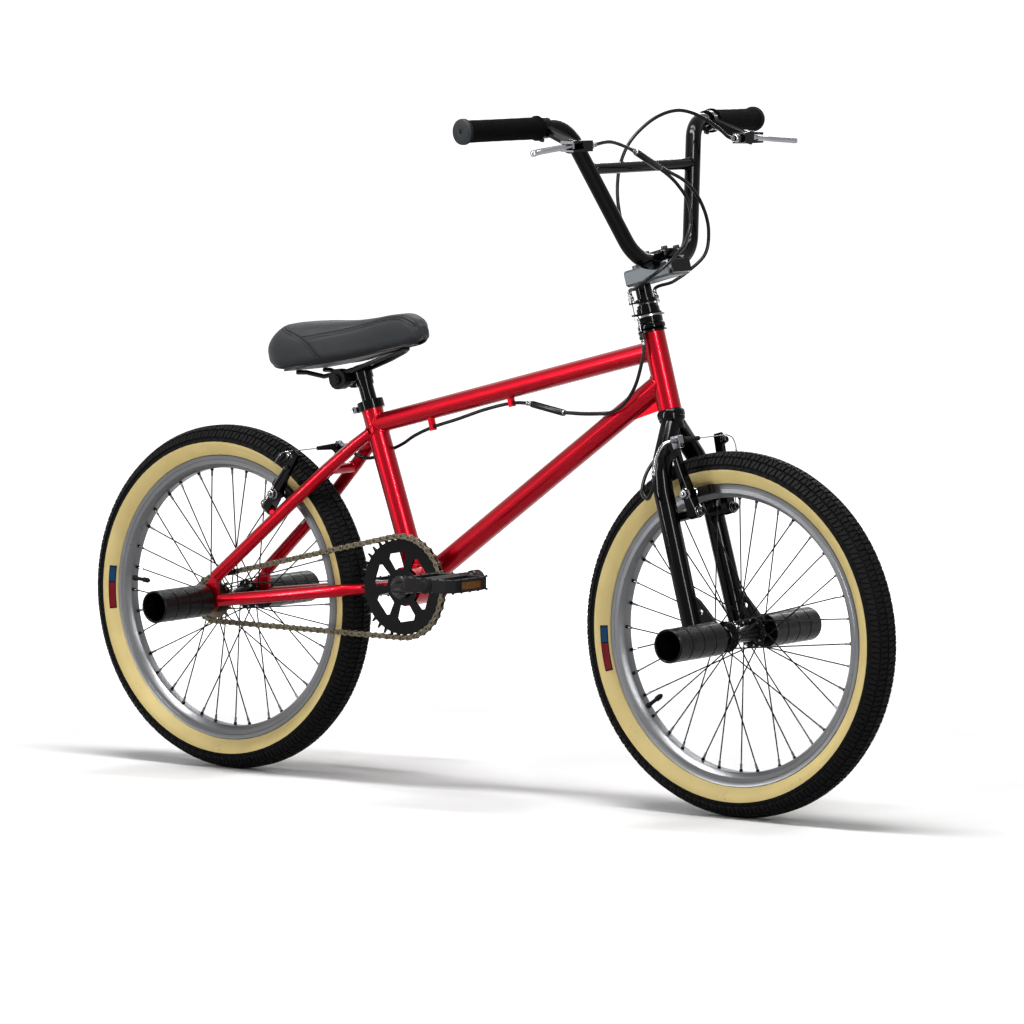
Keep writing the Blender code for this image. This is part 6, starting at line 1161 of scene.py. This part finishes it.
def makeChain():
    s = chainSize
    half, pitch, waist = s["half"], s["pitch"], s["waist"]
    pins = chainPath(s["links"])
    onward = unit(np.roll(pins, -1, 0) - pins)
    square = np.cross(sideways, onward)
    turn = np.radians(np.linspace(50, 310, 11))
    end = half * np.column_stack([np.cos(turn), np.sin(turn)])
    outline = np.concatenate([end, [[pitch / 2, -waist]], [pitch, 0] - end, [[pitch / 2, waist]]])
    link = plate(outline, s["plate"], (np.zeros(3), forward, sideways), 0.0002)
    parts = []
    for odd, aside in enumerate((s["inner"], s["outer"])):
        chosen = np.arange(s["links"]) % 2 == odd
        for side in (-1, 1):
            origins = pins[chosen] + side * aside * sideways
            parts += clad("chainPlate", instances(link, origins, onward[chosen], square[chosen], -sideways))
    for look, reach, radius, count in (("chainPlate", s["inner"], s["roller"], 14),
                                       ("darkSteel", s["pinReach"], s["pin"], 10)):
        parts += clad(look, rods(pins - reach * sideways, pins + reach * sideways, radius, count))
    piece("chain_links", parts, "frame", ["chain"])


makeChain()
print("chain made")


crankSize = {"radius": 0.0100, "turn": 8.5, "length": 0.165, "knee": 0.030, "armSide": 0.081, "kneeSide": 0.069,
             "bossSide": 0.054, "bends": (0.025, 0.010, 0.010, 0.025), "eye": 0.0128, "eyeHalf": 0.0082,
             "cone": 0.0194, "spindle": 0.0059, "spindleEnd": 0.1818}
pedalSize = {"studs": (6, 5), "studEnds": (0.034, 0.038), "studEdges": (0.0435, 0.0425), "studUp": 0.0088,
             "lens": (0.021, 0.0052), "frame": (0.0235, 0.0076), "frameRadius": 0.0017}


def makeCrank():
    # One bent bar through the frame: an arm each side, an eye at each end, and the cones and the nut that hold it
    s, turn = crankSize, math.radians(crankSize["turn"])
    ahead = np.array([math.cos(turn), 0, math.sin(turn)])
    bends = ((s["length"], s["armSide"]), (s["knee"], s["kneeSide"]), (0, s["bossSide"]))
    corners = [crankCentre + run * ahead - aside * sideways for run, aside in bends]
    corners += [crankCentre - run * ahead + aside * sideways for run, aside in bends[::-1]]
    parts = clad("crankBlack", tube(bentPath(corners, s["bends"]), s["radius"], 28))
    half, r = s["eyeHalf"], s["eye"]
    # The pedal's threaded end shows flush on the inner face; a flange sits on the outer one
    thread = [(0, half - 0.001), (0.0072, half - 0.001), (0.0072, half + 0.0004), (0.0064, half + 0.0009),
              (0.0034, half + 0.0009), (0.0030, half - 0.0004), (0, half - 0.0004)]
    flange = [(0, half), (0.0098, half), (0.0098, half + 0.0024), (0.0080, half + 0.0034), (0, half + 0.0034)]
    for centre, out in ((corners[0], -sideways), (corners[-1], sideways)):
        parts += clad("crankBlack", disc(centre, sideways, r, -half, half, 48, 0.0014, 0.0014))
        parts += clad("darkSteel", turned(thread, centre, -out, 32), turned(flange, centre, out, 32))
        spindle = rods(centre, centre * [1, 0, 1] + s["spindleEnd"] * out, s["spindle"], 24)
        parts += clad("brightSteel", spindle)
    cone = [(0.0095, 0.0340), (s["cone"] + 0.002, 0.0340), (s["cone"] + 0.002, 0.0352), (s["cone"], 0.0360),
            (0.0150, 0.0372), (0.0095, 0.0372)]
    nut = [(0.0095, 0.0372), (0.0150, 0.0372), (0.0150, 0.0440), (0.0136, 0.0450), (0.0095, 0.0450)]
    lock = [(0.0095, 0.0345), (0.0168, 0.0345), (0.0168, 0.0470), (0.0150, 0.0486), (0.0095, 0.0486)]
    for profile, axis, segments in ((cone, sideways, 48), (nut, sideways, 6), (lock, -sideways, 48)):
        parts += clad("darkSteel", turned(profile, crankCentre, axis, segments, closed=True))
    piece("crank_bar", parts, "crankset", ["crank"], 40)


def makePedalTrim(side, sign):
    # Moulded studs round the cage, a framed amber lens front and rear, and the round cap over the spindle's end
    low, high = (np.array(corner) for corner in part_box(f"pedal_{side}"))
    centre, half = (low + high) / 2, (high - low) / 2
    (xCount, yCount), (xEnd, yEnd), (xEdge, yEdge) = (pedalSize[key] for key in ("studs", "studEnds", "studEdges"))
    flat = [(value, way * yEdge) for value in np.linspace(-xEnd, xEnd, xCount) for way in (-1, 1)]
    flat += [(way * xEdge, value) for value in np.linspace(-yEnd, yEnd, yCount) for way in (-1, 1)]
    places = np.array([(x, y, way * pedalSize["studUp"]) for x, y in flat for way in (-1, 1)])
    stud = turned([(0, -0.001), (0.0019, -0.001), (0.0014, 0.0017), (0.0010, 0.0020), (0, 0.0020)], np.zeros(3),
                  upright, 10)
    parts = clad("blackPlastic",
                 instances(stud, centre + places, forward, sideways, np.sign(places[:, 2:]) * upright))
    lens, frameEdge = (np.array([(-a, -b), (a, -b), (a, b), (-a, b)])
                       for a, b in (pedalSize["lens"], pedalSize["frame"]))
    for way in (-1, 1):
        origin = centre + way * (half[0] - 0.0002) * forward
        parts += clad("amberLens", plate(lens, 0.0016, (origin, sideways, upright), 0.0004))
        edge = origin + frameEdge @ np.array([sideways, upright])
        for start, end in zip(edge, np.roll(edge, -1, 0)):
            parts += clad("blackPlastic", rods(start, end, pedalSize["frameRadius"], 10))
    outer = np.array([centre[0], (low if sign < 0 else high)[1], centre[2]])
    cap = [(0, -0.001), (0.0088, -0.001), (0.0088, 0.0006), (0.0078, 0.0012), (0.0040, 0.0012), (0.0036, 0.0005),
           (0, 0.0005)]
    parts += clad("blackPlastic", turned(cap, outer, sign * sideways, 36))
    piece(f"pedal_{side}_trim", parts, f"{side}_pedal")


makeCrank()
for side, sign in sides:
    makePedalTrim(side, sign)
print("crank and pedals made")


tubeSize = {"head": 0.0165, "seat": 0.0159, "shell": 0.0285, "top": 0.0143, "down": 0.0162, "bridge": 0.0075}
stays = {  # two places on the left stay from the rear axle, then its radius
    "chain": [(0.2655, 0.027, 0.0285), (0.3335, 0.0205, 0.036), 0.0076],
    "seat": [(0.2505, 0.019, 0.235), (0.2725, 0.0112, 0.253), 0.0080],
    "seatMiddle": [(0.1555, 0.0435, 0.152), (0.2085, 0.031, 0.199), 0.0095]}


def weld(start, end, radius, otherStart, otherDirection, otherRadius):
    # A bead where one tube's end meets another tube
    ring = seamRing(start, end - start, radius, otherStart, otherDirection, otherRadius)
    return clad("candyRed", bead(ring, end - start))


def makeWelds():
    size = tubeSize
    seatTop, seatLow = (crankCentre + along * seatUp for along in (0.240, 0.2))
    topFront, downFront = headPoint(0.4102), headPoint(0.365)
    head, seat, shell = ((start, axis, size[name]) for name, start, axis in (
        ("head", steerFoot, steerUp), ("seat", crankCentre, seatUp), ("shell", crankCentre, sideways)))
    parts = weld(seatTop, topFront, size["top"], *head) + weld(topFront, seatTop, size["top"], *seat)
    parts += weld(crankCentre, downFront, size["down"], *head) + weld(downFront, crankCentre, size["down"], *shell)
    parts += weld(seatLow, crankCentre, size["seat"], *shell)
    middle = rearAxle + [0.2095, 0, 0.198]
    for side in (-1, 1):
        placed = {name: [rearAxle + np.array(place) * [1, side, 1] for place in given[:2]] + given[2:]
                  for name, given in stays.items()}
        low, high, radius = placed["seatMiddle"]
        parts += weld(*placed["chain"], *shell) + weld(*placed["seat"], *seat)
        parts += weld(middle, middle + side * sideways, size["bridge"], low, high - low, radius)
    piece("frame_weld_beads", parts, "frame", (), 50)


fittingPlaces = {"clamp": (0.330, 0.212, 0.928), "ring": (0.26937, 0.192, 0.95155), "adjuster": (0.333, 0.1775, 0.928)}


def makeFittings():
    # Cap screws, clamp screws, adjusters and pivots on the bars, and the bolt through the seat collar's lug
    parts = clad("darkSteel", *(bolt(headPoint(0.5375, ahead, side), steerUp, 0.0046, 0.0062, 24)
                                for ahead in (0.028, 0.060) for side in (-0.014, 0.014)))
    for side in (-1, 1):
        clamp, ring, adjuster = (np.array(place) * [1, side, 1] for place in fittingPlaces.values())
        ahead = unit((clamp - ring) * [1, 0, 1])
        rise = np.cross(ahead, sideways)
        rise = rise * np.sign(rise[2])
        parts += clad("darkSteel", *(bolt(clamp + way * 0.0072 * rise, way * rise, 0.0042, 0.0022, 22)
                                     for way in (-1, 1)))
        parts += clad("leverAlloy", barrel(adjuster, -side * sideways, 0.0056, 0.0112, 16))
        parts += clad("darkSteel", bolt(ring - rise * 0.0150 + ahead * 0.004, -rise, 0.0040, 0.0030))
    block = [(-0.0222, -0.0092), (0.0222, -0.0092), (0.0228, 0), (0.0222, 0.0092), (-0.0222, 0.0092), (-0.0228, 0)]
    parts += clad("glossBlack", rods(headPoint(0.4828), headPoint(0.5019), 0.01145, 36),
                  plate(block, 0.0060, (headPoint(0.5134, 0.0688), sideways, steerUp), 0.0008))
    piece("bar_fittings", parts, "steering")
    lug = crankCentre + 0.268 * seatUp + 0.0234 * unit([-seatUp[2], 0, seatUp[0]])
    heads = (bolt(lug + side * 0.0088 * sideways, side * sideways, 0.0048, 0.0032, 24) for side in (-1, 1))
    piece("seat_collar_bolt", clad("brightSteel", *heads), "frame")


leverSize = {"pivot": (0.330, 0.212, 0.928), "tip": (0.3345, 0.306, 0.921), "eye": 0.0075, "half": 0.0039, "rows": 44,
             "around": 28, "square": 0.6}
leverEdges = np.array([  # share of the blade's length, then how far its front and back edges stand ahead of its line
    (-0.02, 0.0070, -0.0070), (0.10, 0.0074, -0.0069), (0.21, 0.0066, -0.0062), (0.35, 0.0052, -0.0060),
    (0.48, 0.0047, -0.0062), (0.64, 0.0049, -0.0056), (0.80, 0.0058, -0.0047), (0.90, 0.0078, -0.0022),
    (0.96, 0.0092, 0.0002), (0.995, 0.0088, 0.0026), (1.01, 0.0072, 0.0048)])


def squared(wave):
    return np.sign(wave) * np.abs(wave) ** leverSize["square"]


def makeLever(side, sign):
    # A squared oval: pivot + along * s + ahead * (middle + wide * cos^0.6 t) + across * half * fade * sin^0.6 t
    size = leverSize
    pivot, tip = (np.array(size[key]) * [1, sign, 1] for key in ("pivot", "tip"))
    length = float(np.linalg.norm(tip - pivot))
    along = (tip - pivot) / length
    ahead = unit(forward - along * along[0])
    across = np.cross(along, ahead)
    run, front, back = smoothThrough(leverEdges * [length, 1, 1], size["rows"]).T[..., None]
    t = np.linspace(0, 2 * np.pi, size["around"], endpoint=False)
    fade = np.clip((1.02 - run / length) / 0.05, 0.35, 1) ** 0.5
    reach = (front + back) / 2 + (front - back) / 2 * squared(np.cos(t))
    thick = size["half"] * fade * squared(np.sin(t))
    points = pivot + run[..., None] * along + reach[..., None] * ahead + thick[..., None] * across
    blade = (points.reshape(-1, 3), cappedFaces(size["rows"], size["around"]))
    boss = disc(pivot, across, size["eye"], -size["half"], size["half"], 36, 0.0008, 0.0008)
    knob = turned([(0, -0.0042), (0.0030, -0.0040), (0.0044, -0.0030), (0.0049, 0), (0.0044, 0.0030),
                   (0.0030, 0.0040), (0, 0.0042)], tip + 0.0050 * ahead - 0.0015 * along, across, 24)
    piece(f"lever_{side}_blade", clad("leverAlloy", blade, boss, knob), f"lever_{side}",
          [f"brake_lever_{side}"], 40)


makeWelds()
makeFittings()
for side, sign in sides:
    makeLever(side, sign)
print("welds, levers and fittings made")


# Nodes whose own shape is shown: merged, creased at their edges, in their own finish
nodeLooks = {
    "candyRed": "head_tube top_tube down_tube seat_tube bottom_bracket_shell chain_stay_right chain_stay_left "
                "seat_stay_right seat_stay_left seat_stay_bridge dropout_right dropout_left",
    "glossBlack": "fork headset_upper_cup headset_lower_cup headset_locknut seat_clamp lever_bracket_right seatpost "
                  "lever_bracket_left front_brake_arm_right front_brake_arm_left rear_brake_arm_right "
                  "rear_brake_arm_left gyro_lower_plate gyro_upper_plate gyro_bearing_upper chainwheel stem_cap",
    "stemGrey": "stem",
    "satinBlack": "saddle_clamp",
    "brightSteel": "front_axle rear_axle gyro_bearing_lower",
    "chainPlate": "freewheel",
    "darkSteel": "saddle_rails",
    "blackPlastic": "pedal_right pedal_left saddle_base",
}


def dress(node, look):
    mesh = node.data
    for label in ("custom_normal", "sharp_edge", "sharp_face"):
        if label in mesh.attributes:
            mesh.attributes.remove(mesh.attributes[label])
    mesh.polygons.foreach_set("use_smooth", np.ones(len(mesh.polygons), bool))
    mesh.materials.clear()
    mesh.materials.append(look)
    node.modifiers.new("weld", "WELD").merge_threshold = 0.00001
    node.modifiers.new("crease", "EDGE_SPLIT").split_angle = math.radians(40)


for look, names in nodeLooks.items():
    for name in names.split():
        if not nodes[name].hide_render:
            dress(nodes[name], looks[look])
print("nodes dressed")


# The floor is white to the camera and to mirrors far from the object; near it, its own shade under the lamps shows
studio = {"floorHalf": 500.0, "world": 0.13, "nearGlow": 0.0, "nearEdge": 0.95, "farEdge": 2.4, "floorTone": 0.94}
lamps = {  # place, size, watts, and whether it only shows as highlights
    "overhead": ((0.1, -0.3, 3.2), (2.4, 0.4), 94.0, False),
    "leftStrip": ((-1.7, -2.6, 1.7), (0.3, 2.6), 21.0, False),
    "rightStrip": ((2.7, -1.9, 1.6), (0.3, 2.6), 21.0, False),
    "behind": ((-0.6, 2.8, 2.0), (2.4, 0.2), 22.0, False),
    "topGleam": ((0.2, -0.9, 3.0), (2.6, 0.35), 190.0, True),
    "leftGleam": ((-1.5, -2.7, 1.6), (0.25, 2.4), 130.0, True),
    "rightGleam": ((2.8, -1.7, 1.5), (0.25, 2.4), 130.0, True),
}
lampTarget = Vector((0.05, 0, 0.4))


def seenRays(tree):
    ray = addNode(tree, "LightPath").outputs
    mirrored = calculate(tree, "MAXIMUM", ray["Is Glossy Ray"], ray["Is Transmission Ray"])
    return calculate(tree, "MAXIMUM", ray["Is Camera Ray"], mirrored)


def makeStudio():
    floor = bpy.data.meshes.new("floor")
    half, tone = studio["floorHalf"], studio["floorTone"]
    floor.from_pydata([(-half, -half, 0), (half, -half, 0), (half, half, 0), (-half, half, 0)], [], [(0, 1, 2, 3)])
    ground = bpy.data.objects.new("floor", floor)
    bpy.context.scene.collection.objects.link(ground)
    look = bpy.data.materials.new("paleFloor")
    look.use_nodes = True
    tree = look.node_tree
    shader = tree.nodes["Principled BSDF"].inputs
    for label, value in (("Base Color", (tone, tone, tone, 1)), ("Roughness", 0.9), ("Specular IOR Level", 0.1),
                         ("Emission Color", white)):
        shader[label].default_value = value
    spot = addNode(tree, "TexCoord").outputs["Object"]
    length = addNode(tree, "VectorMath")
    length.operation = "LENGTH"
    feed(tree, length.inputs[0], spot)
    fade = addNode(tree, "MapRange", **{"From Min": studio["nearEdge"], "From Max": studio["farEdge"],
                                        "To Min": studio["nearGlow"], "To Max": 1.0, "Value": length.outputs["Value"]})
    feed(tree, shader["Emission Strength"], calculate(tree, "MULTIPLY", seenRays(tree), fade.outputs[0]))
    floor.materials.append(look)

    world = bpy.data.worlds.new("studio")
    bpy.context.scene.world = world
    world.use_nodes = True
    tree = world.node_tree
    sky = tree.nodes["Background"].inputs
    sky["Color"].default_value = white
    feed(tree, sky["Strength"], calculate(tree, "MULTIPLY_ADD", seenRays(tree), 1.0 - studio["world"], studio["world"]))


def makeLamps():
    for name, (place, size, watts, gleam) in lamps.items():
        light = bpy.data.lights.new(name, "AREA")
        light.shape = "RECTANGLE"
        light.size, light.size_y = size
        light.energy = watts
        lamp = bpy.data.objects.new(name, light)
        lamp.location = place
        lamp.visible_diffuse = not gleam
        lamp.rotation_euler = (lampTarget - Vector(place)).to_track_quat("-Z", "Y").to_euler()
        bpy.context.scene.collection.objects.link(lamp)


makeStudio()
makeLamps()
print("studio made")
